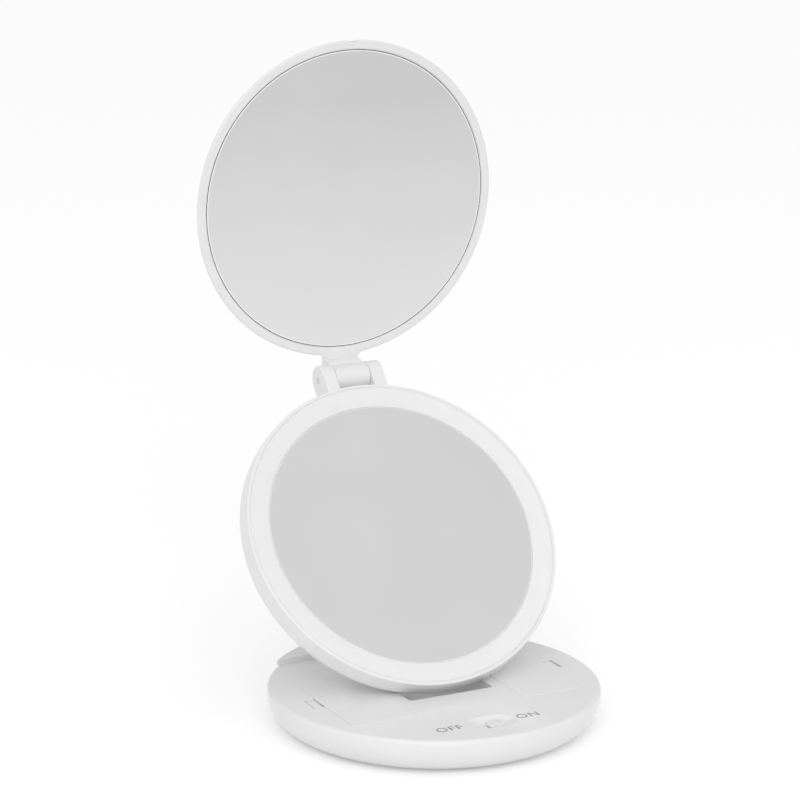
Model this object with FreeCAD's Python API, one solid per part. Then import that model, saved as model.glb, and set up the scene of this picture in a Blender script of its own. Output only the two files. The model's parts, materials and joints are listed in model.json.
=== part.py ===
"""Folding lit compact mirror: a battery base, a lit mirror head on a folding arm, and a mirror lid."""

import FreeCAD
import Part
import math
import os

V = FreeCAD.Vector

# Frame: the origin is the centre of the face that the mirror stands on, +Z is up, the user is on the -Y side.
# Lengths are in millimetres and angles in degrees.
# The head and the lid are drawn lying flat, mirror face up at height 0 and their top towards +Y, then posed.

# Clearances
OVERRUN = 2.0  # how far a cutting tool runs past the face that it cuts
RUN_FIT = 0.05  # radial clearance of a pin that turns in its hole
MOVE_GAP = 0.35  # between pieces that move past each other
SEAT_GAP = 0.15  # round a piece that drops into its seat

# Battery cells and their bays
CELL_RADIUS = 5.25
CELL_BODY = 43.5
NUB_RADIUS = 1.9
NUB_LENGTH = 1.0
CELL_GAP = 0.3
CELL_FLOOR_GAP = 0.15
CELL_HEADROOM = 0.65
CONTACT_ROOM = 7.2
CONTACT_THICK = 0.4
CONTACT_LOSS = 1.9
BAY_WALL = 1.0

# Battery covers
COVER_THICK = 1.6
COVER_LEDGE = 2.5
COVER_END_LEDGE = 3.5
COVER_LEDGE_DEPTH = 1.4
COVER_CORNER = 1.6
COVER_PROUD = 0.2
COVER_MID_Y = -1.4
COVER_FROM_SLOT = 5.0
TAB_WIDTH = 5.0
TAB_THICK = 1.0
TAB_REACH = 1.0
TAB_DROP = 1.7
TAB_ROOT = 1.0
TAB_SPREAD = 17.0
NOTCH_REACH = 4.5
LATCH_WIDTH = 9.0
LATCH_LEG = 0.8
LATCH_SWING = 0.7
LATCH_DEPTH = 5.0
LATCH_LOW = 0.2

# Base housing
COVER_TO_RIM = 15.1
BASE_WALL = 1.8
SIDE_BAND = 0.8
DECK_EDGE_ROUND = 1.7
DECK_THICK = 2.0
PAD_PROUD = 0.6
PAD_SUNK = 0.5
PAD_INSET = 6.0
PAD_ROUND = 0.3
PLATE_THICK = 1.4
PLATE_INSET = 1.2
BOSS_RADIUS = 2.6
BOSS_FRONT_INSIDE = 2.0
BOSS_FRONT_BEHIND = 18.0
BOSS_REAR_OUTSIDE = 6.0
BOSS_REAR_BEHIND = 6.05
BASE_SCREW_RADIUS = 1.25
BASE_SCREW_LENGTH = 8.0
BASE_SCREW_HEAD = 2.3
BASE_SCREW_SINK = 0.8

# Slot in the deck, arm hinge and raised rear cover
SLOT_HALF = 18.0
SLOT_AHEAD = 6.6
SLOT_UNDER = 1.9
SLOT_FLOOR_THICK = 1.2
SLOT_WALL = 1.4
SLOT_CORNER = 1.4
SLOT_BEHIND = 1.1
ARM_PIVOT_IN = 15.5
ARM_PIVOT_DEPTH = 3.2
ARM_PIN_RADIUS = 2.0
ARM_BARREL_RADIUS = 4.6
ARM_BARREL_GAP = 0.4
BLOCK_WIDTH = 7.0
BLOCK_LENGTH = 11.0
LEDGE_DEPTH = 20.0
LEDGE_RISE = 2.5
LEDGE_ROUND = 1.0
LEDGE_INSET = 0.2

# Switch
DISH_X = -0.5
DISH_IN = 17.0
DISH_RADIUS = 10.0
DISH_DEPTH = 2.0
DISH_STRAIGHT = 6.0
DISH_FLOOR = 1.6
KNOB_LENGTH = 6.4
KNOB_WIDTH = 4.2
KNOB_SUNK = 0.4
KNOB_FLOOR_GAP = 0.6
KNOB_ROUND = 0.5
KNOB_TRAVEL = 2.6
RIB_COUNT = 4
RIB_CUT_WIDTH = 0.5
RIB_CUT_DEPTH = 0.4
STEM_LENGTH = 3.0
STEM_WIDTH = 1.8
STEM_ENTRY = 1.8
SWITCH_LENGTH = 12.0
SWITCH_WIDTH = 6.0
SWITCH_HEIGHT = 4.4
SWITCH_POCKET = 2.4
BOARD_LENGTH = 26.0
BOARD_WIDTH = 10.0
BOARD_THICK = 1.2
POST_RADIUS = 1.8
POST_SPREAD = 10.2

# Mirror head
HEAD_OVER = 0.3
HEAD_BACK = 12.4
HEAD_BACK_ROUND = 8.0
HEAD_WALL = 1.7
HEAD_LIP = 1.6
HEAD_EDGE_ROUND = 1.6
HEAD_TILT = 39.35
HEAD_AHEAD = 22.4
HEAD_DIP = 1.5
RING_WIDTH = 7.7
RING_THICK = 1.4
RING_SKIRT = 1.4
RING_SKIRT_DEPTH = 1.6
RING_EDGE = 0.5
GLASS_THICK = 2.0
GLASS_BEVEL = 0.5
GLASS_GAP = 0.3
CARRIER_THICK = 1.6
LED_BOARD_WIDTH = 4.4
LED_BOARD_DEPTH = 4.6
LED_BOARD_THICK = 0.8
LED_COUNT = 10
LED_LENGTH = 3.5
LED_WIDTH = 2.8
LED_HEIGHT = 1.0
RIB_WALL = 1.2
HEAD_SCREW_COUNT = 4
HEAD_SCREW_IN = 6.75
HEAD_SCREW_RADIUS = 1.25
HEAD_SCREW_HEAD = 2.3
HEAD_SCREW_HEAD_THICK = 1.1
HEAD_BOSS_RADIUS = 3.4
HEAD_BOSS_RISE = 4.2

# Support arm and tilt joint
FOLD_CLEAR = 0.35
TILT_DROP = 5.0
TILT_PIN_RADIUS = 1.6
TONGUE_HALF = 8.2
ARM_HALF = 15.0
ARM_THICK = 6.0
ARM_TAPER_START = 24.0
ARM_TAPER_END = 13.0
ARM_ROUND = 1.2
BUSH_RADIUS = 3.0
BUSH_LENGTH = 6.0
ARM_COVER_HALF = 10.0
ARM_COVER_THICK = 1.2
ARM_COVER_SHORT = 20.0
ARM_CHANNEL_DEPTH = 2.6
ARM_CHANNEL_WALL = 2.0
WASHER_THICK = 0.8
EAR_THICK = 2.4
EAR_RADIUS = 4.2
EAR_FOOT = 6.5
BRACKET_FLANGE = 3.75
BRACKET_HALF_LENGTH = 10.0
BRACKET_THICK = 1.6
BRACKET_CORNER = 3.0
BRACKET_SCREW_END = 2.8
BRACKET_SCREW_RADIUS = 1.0
BRACKET_SCREW_HEAD_THICK = 1.0
BRACKET_SCREW_LENGTH = 4.4
BRACKET_BOSS_RADIUS = 2.2
BRACKET_BOSS_RISE = 3.0

# Lid and its hinge
LID_UNDER = 0.7
LID_BACK_ROUND = 10.0
LID_SIDE_LEAN = 0.7
LID_WALL = 1.6
LID_LIP = 0.4
LID_EDGE_ROUND = 0.8
LID_FRAME_WIDTH = 3.3
LID_TILT = -5.21
LID_CLEAR = 0.4
LID_PAD_THICK = 0.8
LID_PAD_MARGIN = 3.0
LID_RIB_COUNT = 3
LID_RIB_RISE = 0.4
NOTCH_RADIUS = 6.0
NOTCH_DEPTH = 0.8
PIN_OUT = 6.6
PIN_BEHIND = 5.0
LID_PIN_RADIUS = 1.5
BARREL_HALF = 7.3
BARREL_RADIUS = 4.4
NECK_CLEAR = 0.8
NECK_SHORT = 3.0
HINGE_EAR_WIDTH = 5.8
HINGE_EAR_RADIUS = 5.8
HINGE_EAR_ROOT = 7.3

# Places and sizes that follow from the values above
PLATE_TOP = PAD_PROUD + PLATE_THICK
CELL_Z = PLATE_TOP + CELL_FLOOR_GAP + CELL_RADIUS
DECK_TOP = CELL_Z + CELL_RADIUS + CELL_HEADROOM + COVER_THICK
DECK_LOW = DECK_TOP - DECK_THICK
CONTACT_HEIGHT = 2 * CELL_RADIUS - CONTACT_LOSS

# Across the deck, from the slot past a battery bay to the rim: this sets the size of the base
BAY_WIDTH = 4 * CELL_RADIUS + 3 * CELL_GAP
BAY_LENGTH = CELL_BODY + NUB_LENGTH + CONTACT_ROOM
COVER_INNER = SLOT_HALF + COVER_FROM_SLOT
BAY_INNER = COVER_INNER + COVER_LEDGE
BAY_OUTER = BAY_INNER + BAY_WIDTH
COVER_OUTER = BAY_OUTER + COVER_LEDGE
NOTCH_OUTER = COVER_OUTER + NOTCH_REACH
BASE_RADIUS = COVER_OUTER + COVER_TO_RIM

BAY_FRONT = COVER_MID_Y - BAY_LENGTH / 2
BAY_REAR = COVER_MID_Y + BAY_LENGTH / 2
COVER_FRONT = BAY_FRONT - COVER_END_LEDGE
COVER_REAR = BAY_REAR + COVER_END_LEDGE
COVER_SEAT = DECK_TOP - COVER_THICK - MOVE_GAP
TAB_X = COVER_INNER - TAB_REACH
TAB_Z = DECK_TOP - TAB_DROP
TAB_PLACES = [COVER_MID_Y - TAB_SPREAD, COVER_MID_Y + TAB_SPREAD]

BOTTOM_ROUND = DECK_TOP - DECK_EDGE_ROUND - PAD_PROUD - SIDE_BAND
FLAT_RADIUS = BASE_RADIUS - BOTTOM_ROUND
ROUND_Z = PAD_PROUD + BOTTOM_ROUND
PLATE_RADIUS = FLAT_RADIUS - PLATE_INSET
PAD_RADIUS = PLATE_RADIUS - PAD_INSET

ARM_PIVOT_Y = BASE_RADIUS - ARM_PIVOT_IN
ARM_PIVOT_Z = DECK_TOP - ARM_PIVOT_DEPTH
ARM_BARREL_HALF = SLOT_HALF - ARM_BARREL_GAP
SLOT_REAR = ARM_PIVOT_Y + ARM_BARREL_RADIUS + SLOT_BEHIND
SLOT_FLOOR = ARM_PIVOT_Z - ARM_BARREL_RADIUS - SLOT_UNDER
LEDGE_FRONT = BASE_RADIUS - LEDGE_DEPTH
LEDGE_TOP = DECK_TOP + LEDGE_RISE

DISH_Y = DISH_IN - BASE_RADIUS
DISH_LOW = DECK_TOP - DISH_DEPTH
DISH_PAD_LOW = DISH_LOW - DISH_FLOOR
DISH_HALF_WIDTH = math.sqrt(DISH_RADIUS**2 - (DISH_RADIUS - DISH_DEPTH) ** 2)
KNOB_X = DISH_X + KNOB_TRAVEL / 2
SWITCH_LOW = DISH_PAD_LOW - SWITCH_HEIGHT
BOARD_LOW = SWITCH_LOW - BOARD_THICK

BOSS_FRONT_X = SLOT_HALF - BOSS_FRONT_INSIDE
BOSS_FRONT_Y = DISH_Y + BOSS_FRONT_BEHIND
BOSS_REAR_X = SLOT_HALF + BOSS_REAR_OUTSIDE
BOSS_REAR_Y = COVER_REAR + BOSS_REAR_BEHIND

# The head closes over the base, and the lid over the head
HEAD_RADIUS = BASE_RADIUS + HEAD_OVER
LID_RADIUS = HEAD_RADIUS - LID_UNDER
RING_OUTER = HEAD_RADIUS - HEAD_WALL - SEAT_GAP
RING_INNER = RING_OUTER - RING_WIDTH
HEAD_MIRROR_RADIUS = RING_INNER - GLASS_GAP
CARRIER_LOW = -GLASS_THICK - CARRIER_THICK
HEAD_FLOOR = HEAD_WALL - HEAD_BACK
HEAD_BOSS_TOP = HEAD_FLOOR + HEAD_BOSS_RISE
HEAD_SCREW_CIRCLE = RING_INNER - HEAD_SCREW_IN
LED_BOARD_MID = (RING_OUTER + RING_INNER) / 2

LEAN = math.radians(HEAD_TILT)
HEAD_Y = ARM_PIVOT_Y - HEAD_AHEAD
HEAD_Z = (
    DECK_TOP
    - HEAD_DIP
    + HEAD_BACK_ROUND
    + (HEAD_RADIUS - HEAD_BACK_ROUND) * math.cos(LEAN)
    + (HEAD_BACK - HEAD_BACK_ROUND) * math.sin(LEAN)
)
HEAD_TURN = 90 - HEAD_TILT
LID_TURN = 90 - LID_TILT
PIN_REACH = HEAD_RADIUS + PIN_OUT
CLOSED_GAP = HEAD_LIP + LID_LIP + LID_CLEAR
LID_PIN_UP = PIN_BEHIND + CLOSED_GAP
LID_MIRROR_RADIUS = LID_RADIUS - LID_FRAME_WIDTH - SEAT_GAP
LID_FRAME_DEPTH = GLASS_THICK
LID_BACK = GLASS_THICK + LID_PAD_THICK + LID_RIB_RISE + LID_WALL
TILT_BEHIND = HEAD_BACK + TILT_DROP

EAR_INNER = TONGUE_HALF + MOVE_GAP + WASHER_THICK
EAR_OUTER = EAR_INNER + EAR_THICK
BRACKET_HALF_WIDTH = EAR_OUTER + BRACKET_FLANGE
BRACKET_SCREW_X = EAR_OUTER + BRACKET_FLANGE / 2
BRACKET_SCREW_Y = BRACKET_HALF_LENGTH - BRACKET_SCREW_END
BRACKET_SCREW_HEAD = BRACKET_FLANGE / 2 - SEAT_GAP


def turned_point(turn, along, out):
    """The (y, z) offset of a point of a disc that is turned up about X."""
    angle = math.radians(turn)
    y = along * math.cos(angle) - out * math.sin(angle)
    z = along * math.sin(angle) + out * math.cos(angle)
    return y, z


def tilt_pivot_along():
    """How far up the head's back the tilt pivot lies, so that one arm length serves set up and folded."""
    pivot_y, pivot_z = turned_point(HEAD_TURN, 0, -TILT_BEHIND)
    reach_y = HEAD_Y + pivot_y - ARM_PIVOT_Y
    reach_z = HEAD_Z + pivot_z - ARM_PIVOT_Z
    up_y, up_z = turned_point(HEAD_TURN, 1, 0)
    folded_z = DECK_TOP + LEDGE_RISE + FOLD_CLEAR - TILT_DROP - ARM_PIVOT_Z
    surplus = ARM_PIVOT_Y**2 + folded_z**2 - reach_y**2 - reach_z**2
    return surplus / (2 * (reach_y * up_y + reach_z * up_z + ARM_PIVOT_Y))


TILT_ALONG = tilt_pivot_along()
TILT_OFFSET = turned_point(HEAD_TURN, TILT_ALONG, -TILT_BEHIND)
TILT_Y = HEAD_Y + TILT_OFFSET[0]
TILT_Z = HEAD_Z + TILT_OFFSET[1]
ARM_LENGTH = math.hypot(TILT_Y - ARM_PIVOT_Y, TILT_Z - ARM_PIVOT_Z)
SLOT_FRONT = ARM_PIVOT_Y - ARM_LENGTH - BRACKET_HALF_LENGTH - SLOT_AHEAD
ARM_TURN = math.degrees(math.atan2(TILT_Z - ARM_PIVOT_Z, TILT_Y - ARM_PIVOT_Y))
FOLDED_RISE = DECK_TOP + LEDGE_RISE + FOLD_CLEAR - TILT_DROP - ARM_PIVOT_Z
ARM_FOLDED_TURN = 180 - math.degrees(math.asin(FOLDED_RISE / ARM_LENGTH))

PIN_OFFSET = turned_point(HEAD_TURN, PIN_REACH, -PIN_BEHIND)
LID_PIN_Y = HEAD_Y + PIN_OFFSET[0]
LID_PIN_Z = HEAD_Z + PIN_OFFSET[1]
LID_OFFSET = turned_point(LID_TURN, -PIN_REACH, LID_PIN_UP)
LID_Y = LID_PIN_Y - LID_OFFSET[0]
LID_Z = LID_PIN_Z - LID_OFFSET[1]


# Shape helpers


def box(x0, x1, y0, y1, z0, z1):
    return Part.makeBox(x1 - x0, y1 - y0, z1 - z0, V(x0, y0, z0))


def block(x, y, length, width, low, high):
    """A box about a middle point in plan, its length along X."""
    return box(x - length / 2, x + length / 2, y - width / 2, y + width / 2, low, high)


def disc(radius, low, high, x=0, y=0):
    return Part.makeCylinder(radius, high - low, V(x, y, low))


def ring(outer, inner, low, high):
    return disc(outer, low, high).cut(disc(inner, low, high))


def rod(radius, x0, x1, y=0, z=0):
    """A round bar along X."""
    return Part.makeCylinder(radius, x1 - x0, V(x0, y, z), V(1, 0, 0))


def tile(x0, x1, y0, y1, z0, z1, corner):
    """A box with rounded upright edges."""
    block = box(x0, x1, y0, y1, z0, z1)
    upright = [e for e in block.Edges if e.BoundBox.ZLength > (z1 - z0) / 2]
    return block.makeFillet(corner, upright)


def quarter(centre_r, centre_z, radius, middle, end):
    """An arc step of a turned profile: its middle and end points, at angles round a centre."""
    points = []
    for angle in (middle, end):
        turn = math.radians(angle)
        points.append((centre_r + radius * math.cos(turn), centre_z + radius * math.sin(turn)))
    return tuple(points)


def turned(start, *steps):
    """A solid of revolution about Z, from a profile of lines and arcs in (radius, height)."""
    edges = []
    here = start
    for step in steps + (start,):
        arc = isinstance(step[0], tuple)
        end = step[1] if arc else step
        first = V(here[0], 0, here[1])
        last = V(end[0], 0, end[1])
        if arc:
            middle = V(step[0][0], 0, step[0][1])
            edges.append(Part.Arc(first, middle, last).toShape())
        else:
            edges.append(Part.makeLine(first, last))
        here = end
    return Part.Face(Part.Wire(edges)).revolve(V(0, 0, 0), V(0, 0, 1), 360)


def side_prism(points, x0, x1):
    """A solid with an outline in (y, z), drawn out along X."""
    wire = Part.makePolygon([V(x0, y, z) for y, z in points + points[:1]])
    return Part.Face(wire).extrude(V(x1 - x0, 0, 0))


def fused(first, *others):
    return first.fuse(list(others)).removeSplitter()


def mirrored(shape):
    return shape.mirror(V(0, 0, 0), V(1, 0, 0))


def both_sides(shape):
    return [shape, mirrored(shape)]


def posed(shape, turn, y, z):
    """A flat-drawn shape turned up about X and moved to its place."""
    placed = shape.copy()
    placed.rotate(V(0, 0, 0), V(1, 0, 0), turn)
    placed.translate(V(0, y, z))
    return placed


def around(shape, count, offset=0):
    """Copies of a shape spaced evenly about Z."""
    copies = []
    for i in range(count):
        turned_copy = shape.copy()
        turned_copy.rotate(V(0, 0, 0), V(0, 0, 1), offset + 360 * i / count)
        copies.append(turned_copy)
    return copies


# Base


def base_outer_form():
    edge_r = BASE_RADIUS - DECK_EDGE_ROUND
    edge_z = DECK_TOP - DECK_EDGE_ROUND
    return turned(
        (0, PAD_PROUD),
        (FLAT_RADIUS, PAD_PROUD),
        quarter(FLAT_RADIUS, ROUND_Z, BOTTOM_ROUND, -45, 0),
        (BASE_RADIUS, edge_z),
        quarter(edge_r, edge_z, DECK_EDGE_ROUND, 45, 90),
        (0, DECK_TOP),
    )


def base_inner_void():
    mouth = PLATE_RADIUS + SEAT_GAP
    inner_round = BOTTOM_ROUND - BASE_WALL
    return turned(
        (0, PAD_PROUD - OVERRUN),
        (mouth, PAD_PROUD - OVERRUN),
        (mouth, PAD_PROUD + BASE_WALL),
        (FLAT_RADIUS, PAD_PROUD + BASE_WALL),
        quarter(FLAT_RADIUS, ROUND_Z, inner_round, -45, 0),
        (BASE_RADIUS - BASE_WALL, DECK_LOW),
        (0, DECK_LOW),
    )


def bay_walls():
    """The ledge that a cover lies on and the walls that hold its two cells, on the right."""
    rim = box(
        COVER_INNER - BAY_WALL, COVER_OUTER + BAY_WALL,
        COVER_FRONT - BAY_WALL, COVER_REAR + BAY_WALL,
        COVER_SEAT - COVER_LEDGE_DEPTH, DECK_LOW,
    )
    walls = box(
        BAY_INNER - BAY_WALL, BAY_OUTER + BAY_WALL,
        BAY_FRONT - BAY_WALL, BAY_REAR + BAY_WALL,
        PLATE_TOP, DECK_LOW,
    )
    return rim.fuse(walls)


def bay_cuts():
    """Everything cut away for one battery bay, on the right: recess, bay, clip notch and tab slots."""
    recess = tile(
        COVER_INNER, COVER_OUTER, COVER_FRONT, COVER_REAR, COVER_SEAT, DECK_TOP + OVERRUN, COVER_CORNER
    )
    bay = box(BAY_INNER, BAY_OUTER, BAY_FRONT, BAY_REAR, PLATE_TOP, DECK_TOP)
    notch_half = LATCH_WIDTH / 2 + MOVE_GAP
    notch = box(
        BAY_OUTER + BAY_WALL, NOTCH_OUTER,
        COVER_MID_Y - notch_half, COVER_MID_Y + notch_half,
        DECK_TOP - LATCH_DEPTH - MOVE_GAP, DECK_TOP + OVERRUN,
    )
    tab_half = TAB_WIDTH / 2 + MOVE_GAP
    tab_room = TAB_THICK / 2 + MOVE_GAP
    slots = [
        box(
            TAB_X - tab_room, COVER_INNER + TAB_ROOT + MOVE_GAP + MOVE_GAP,
            y - tab_half, y + tab_half,
            TAB_Z - tab_room, TAB_Z + tab_room,
        )
        for y in TAB_PLACES
    ]
    return [recess, bay, notch] + slots


def boss_places():
    front = [(BOSS_FRONT_X, BOSS_FRONT_Y), (-BOSS_FRONT_X, BOSS_FRONT_Y)]
    rear = [(BOSS_REAR_X, BOSS_REAR_Y), (-BOSS_REAR_X, BOSS_REAR_Y)]
    return front + rear


def slot_tray():
    half = SLOT_HALF + SLOT_WALL
    low = SLOT_FLOOR - SLOT_FLOOR_THICK
    return box(-half, half, SLOT_FRONT - SLOT_WALL, SLOT_REAR + SLOT_WALL, low, DECK_LOW)


def hinge_block():
    """The bearing for the arm's pin, on the right of the slot."""
    return box(
        SLOT_HALF, SLOT_HALF + BLOCK_WIDTH,
        ARM_PIVOT_Y - BLOCK_LENGTH / 2, ARM_PIVOT_Y + BLOCK_LENGTH / 2,
        SLOT_FLOOR - SLOT_FLOOR_THICK, DECK_LOW,
    )


def switch_mounts():
    """The thick pad under the dished recess and two posts for the board."""
    width = 2 * (DISH_HALF_WIDTH + BAY_WALL)
    pad = block(DISH_X, DISH_Y, DISH_STRAIGHT + width, width, DISH_PAD_LOW, DECK_LOW)
    posts = [disc(POST_RADIUS, SWITCH_LOW, DECK_LOW, DISH_X + s * POST_SPREAD, DISH_Y) for s in (-1, 1)]
    return [pad] + posts


def stem_room(low, high):
    """The space that the knob's stem sweeps, with its clearance."""
    length = STEM_LENGTH + KNOB_TRAVEL + 2 * MOVE_GAP
    return block(DISH_X, DISH_Y, length, STEM_WIDTH + 2 * MOVE_GAP, low, high)


def switch_cuts():
    """The dished recess in the deck and the window that the knob's stem slides in."""
    dish_z = DISH_LOW + DISH_RADIUS
    ends = (DISH_X - DISH_STRAIGHT / 2, DISH_X + DISH_STRAIGHT / 2)
    dish = rod(DISH_RADIUS, ends[0], ends[1], DISH_Y, dish_z)
    caps = [Part.makeSphere(DISH_RADIUS, V(x, DISH_Y, dish_z)) for x in ends]
    return [dish.fuse(caps), stem_room(DISH_PAD_LOW - OVERRUN, DECK_TOP)]


def base_housing():
    outer = base_outer_form()
    shell = outer.cut(base_inner_void())
    inside = [slot_tray()] + both_sides(bay_walls()) + both_sides(hinge_block()) + switch_mounts()
    inside += [disc(BOSS_RADIUS, PLATE_TOP, DECK_LOW, x, y) for x, y in boss_places()]
    inside = inside[0].fuse(inside[1:]).common(outer)
    slot = tile(-SLOT_HALF, SLOT_HALF, SLOT_FRONT, SLOT_REAR, SLOT_FLOOR, DECK_TOP + OVERRUN, SLOT_CORNER)
    pin_half = SLOT_HALF + BLOCK_WIDTH + OVERRUN
    pin_hole = rod(ARM_PIN_RADIUS, -pin_half, pin_half, ARM_PIVOT_Y, ARM_PIVOT_Z)
    cuts = [slot, pin_hole] + switch_cuts()
    for cut in bay_cuts():
        cuts += both_sides(cut)
    screw_top = PAD_PROUD + PAD_SUNK + BASE_SCREW_LENGTH
    cuts += [disc(BASE_SCREW_RADIUS, PLATE_TOP, screw_top, x, y) for x, y in boss_places()]
    return shell.fuse(inside).cut(cuts).removeSplitter()


def base_screw(x, y):
    low = PAD_PROUD + PAD_SUNK
    shank = disc(BASE_SCREW_RADIUS, low, low + BASE_SCREW_LENGTH, x, y)
    head = Part.makeCone(BASE_SCREW_HEAD, BASE_SCREW_RADIUS, BASE_SCREW_SINK, V(x, y, low))
    return shank.fuse(head).removeSplitter()


def base_screws():
    return Part.makeCompound([base_screw(x, y) for x, y in boss_places()])


def bottom_plate():
    plate = disc(PLATE_RADIUS, PAD_PROUD, PLATE_TOP)
    pocket = disc(PAD_RADIUS + SEAT_GAP, PAD_PROUD - OVERRUN, PAD_PROUD + PAD_SUNK)
    return plate.cut([pocket] + [base_screw(x, y) for x, y in boss_places()])


def foot_pad():
    pad = disc(PAD_RADIUS, 0, PAD_PROUD + PAD_SUNK)
    lower_rim = [e for e in pad.Edges if e.BoundBox.ZMax < PAD_PROUD / 2]
    return pad.makeFillet(PAD_ROUND, lower_rim)


def rear_hinge_cover():
    """The raised step behind the slot that roofs the arm's hinge, open in the middle for the arm."""
    reach = BASE_RADIUS - LEDGE_INSET
    form = turned(
        (0, DECK_TOP),
        (reach, DECK_TOP),
        (reach, LEDGE_TOP - LEDGE_ROUND),
        quarter(reach - LEDGE_ROUND, LEDGE_TOP - LEDGE_ROUND, LEDGE_ROUND, 45, 90),
        (0, LEDGE_TOP),
    )
    keep = box(-BASE_RADIUS, BASE_RADIUS, LEDGE_FRONT, BASE_RADIUS, DECK_TOP, LEDGE_TOP)
    front = LEDGE_FRONT - OVERRUN
    gap = box(-SLOT_HALF, SLOT_HALF, front, SLOT_REAR, DECK_TOP - OVERRUN, LEDGE_TOP + OVERRUN)
    return form.common(keep).cut(gap)


def battery_cover():
    """The right-hand cover: a plate with two tabs at its inner edge and a clip at its outer edge."""
    outer_edge = COVER_OUTER - MOVE_GAP
    inner_edge = COVER_INNER + MOVE_GAP
    plate = tile(
        inner_edge, outer_edge, COVER_FRONT + MOVE_GAP, COVER_REAR - MOVE_GAP,
        DECK_TOP - COVER_THICK, DECK_TOP + COVER_PROUD, COVER_CORNER - MOVE_GAP,
    )
    tabs = []
    for y in TAB_PLACES:
        start = y - TAB_WIDTH / 2
        low = TAB_Z - TAB_THICK / 2
        tabs.append(box(TAB_X, inner_edge + TAB_ROOT, start, start + TAB_WIDTH, low, low + TAB_THICK))
        tabs.append(Part.makeCylinder(TAB_THICK / 2, TAB_WIDTH, V(TAB_X, start, TAB_Z), V(0, 1, 0)))
    return fused(plate, *tabs, cover_latch(outer_edge))


def cover_latch(outer_edge):
    """A strip bent into a U: down from the plate's edge and up again inside the finger notch."""
    low = DECK_TOP - LATCH_DEPTH
    tip = NOTCH_OUTER - LATCH_SWING
    points = [
        (outer_edge - LATCH_LEG, DECK_TOP - COVER_THICK),
        (outer_edge - LATCH_LEG, low),
        (tip, low),
        (tip, DECK_TOP - LATCH_LOW),
        (tip - LATCH_LEG, DECK_TOP - LATCH_LOW),
        (tip - LATCH_LEG, low + LATCH_LEG),
        (outer_edge, low + LATCH_LEG),
        (outer_edge, DECK_TOP - COVER_THICK),
    ]
    start = COVER_MID_Y - LATCH_WIDTH / 2
    wire = Part.makePolygon([V(x, start, z) for x, z in points + points[:1]])
    strip = Part.Face(wire).extrude(V(0, LATCH_WIDTH, 0))
    across = [e for e in strip.Edges if e.BoundBox.YLength > LATCH_WIDTH / 2]
    bends = [e for e in across if e.BoundBox.ZMax < low + LATCH_LEG / 2]
    return strip.makeFillet(LATCH_LEG, bends)


def cell_columns():
    first = BAY_INNER + CELL_GAP + CELL_RADIUS
    return [first, first + 2 * CELL_RADIUS + CELL_GAP]


def battery_cells():
    """Two cells side by side on the right, the second turned end for end."""
    cells = []
    for x, way in zip(cell_columns(), (1, -1)):
        plus_end = COVER_MID_Y + way * (BAY_LENGTH / 2 - CONTACT_THICK - SEAT_GAP)
        along = V(0, -way, 0)
        nub = Part.makeCylinder(NUB_RADIUS, NUB_LENGTH, V(x, plus_end, CELL_Z), along)
        shoulder = V(x, plus_end - way * NUB_LENGTH, CELL_Z)
        body = Part.makeCylinder(CELL_RADIUS, CELL_BODY, shoulder, along)
        cells.append(nub.fuse(body).removeSplitter())
    return Part.makeCompound(cells)


def battery_contacts():
    """For each cell on the right: a flat plate at its plus end and a bowed strip at its minus end."""
    pieces = []
    width = 2 * (CELL_RADIUS - CELL_GAP)
    low = CELL_Z - CONTACT_HEIGHT / 2
    plate_y = (BAY_LENGTH - CONTACT_THICK) / 2
    for x, way in zip(cell_columns(), (1, -1)):
        plus = COVER_MID_Y + way * plate_y
        minus = COVER_MID_Y - way * plate_y
        pieces.append(block(x, plus, width, CONTACT_THICK, low, low + CONTACT_HEIGHT))
        plate = block(x, minus, width, CONTACT_THICK, low, low + CONTACT_HEIGHT)
        bow = contact_bow(x, minus + way * CONTACT_THICK / 2, way)
        pieces.append(plate.fuse(bow).removeSplitter())
    return Part.makeCompound(pieces)


def contact_bow(x, face, way):
    """The sprung part of a minus contact: a strip bowed out from its plate to the cell's end."""
    rise = CONTACT_ROOM - 3 * CONTACT_THICK - 2 * SEAT_GAP
    half = CELL_RADIUS - CELL_GAP - CONTACT_THICK
    radius = (half**2 + rise**2) / (2 * rise)
    width = CONTACT_HEIGHT / 2
    centre = V(x, face + way * (rise - radius), CELL_Z - width / 2)
    outer = Part.makeCylinder(radius + CONTACT_THICK, width, centre)
    inner = Part.makeCylinder(radius, width, centre)
    reach = rise + CONTACT_THICK
    keep = block(x, face + way * reach / 2, 2 * CELL_RADIUS, reach, CELL_Z - width, CELL_Z + width)
    return outer.cut(inner).common(keep)


def switch_board():
    return block(DISH_X, DISH_Y, BOARD_LENGTH, BOARD_WIDTH, BOARD_LOW, SWITCH_LOW)


def slide_switch_body():
    body = block(DISH_X, DISH_Y, SWITCH_LENGTH, SWITCH_WIDTH, SWITCH_LOW, DISH_PAD_LOW)
    return body.cut(stem_room(DISH_PAD_LOW - SWITCH_POCKET, DISH_PAD_LOW + OVERRUN))


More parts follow.
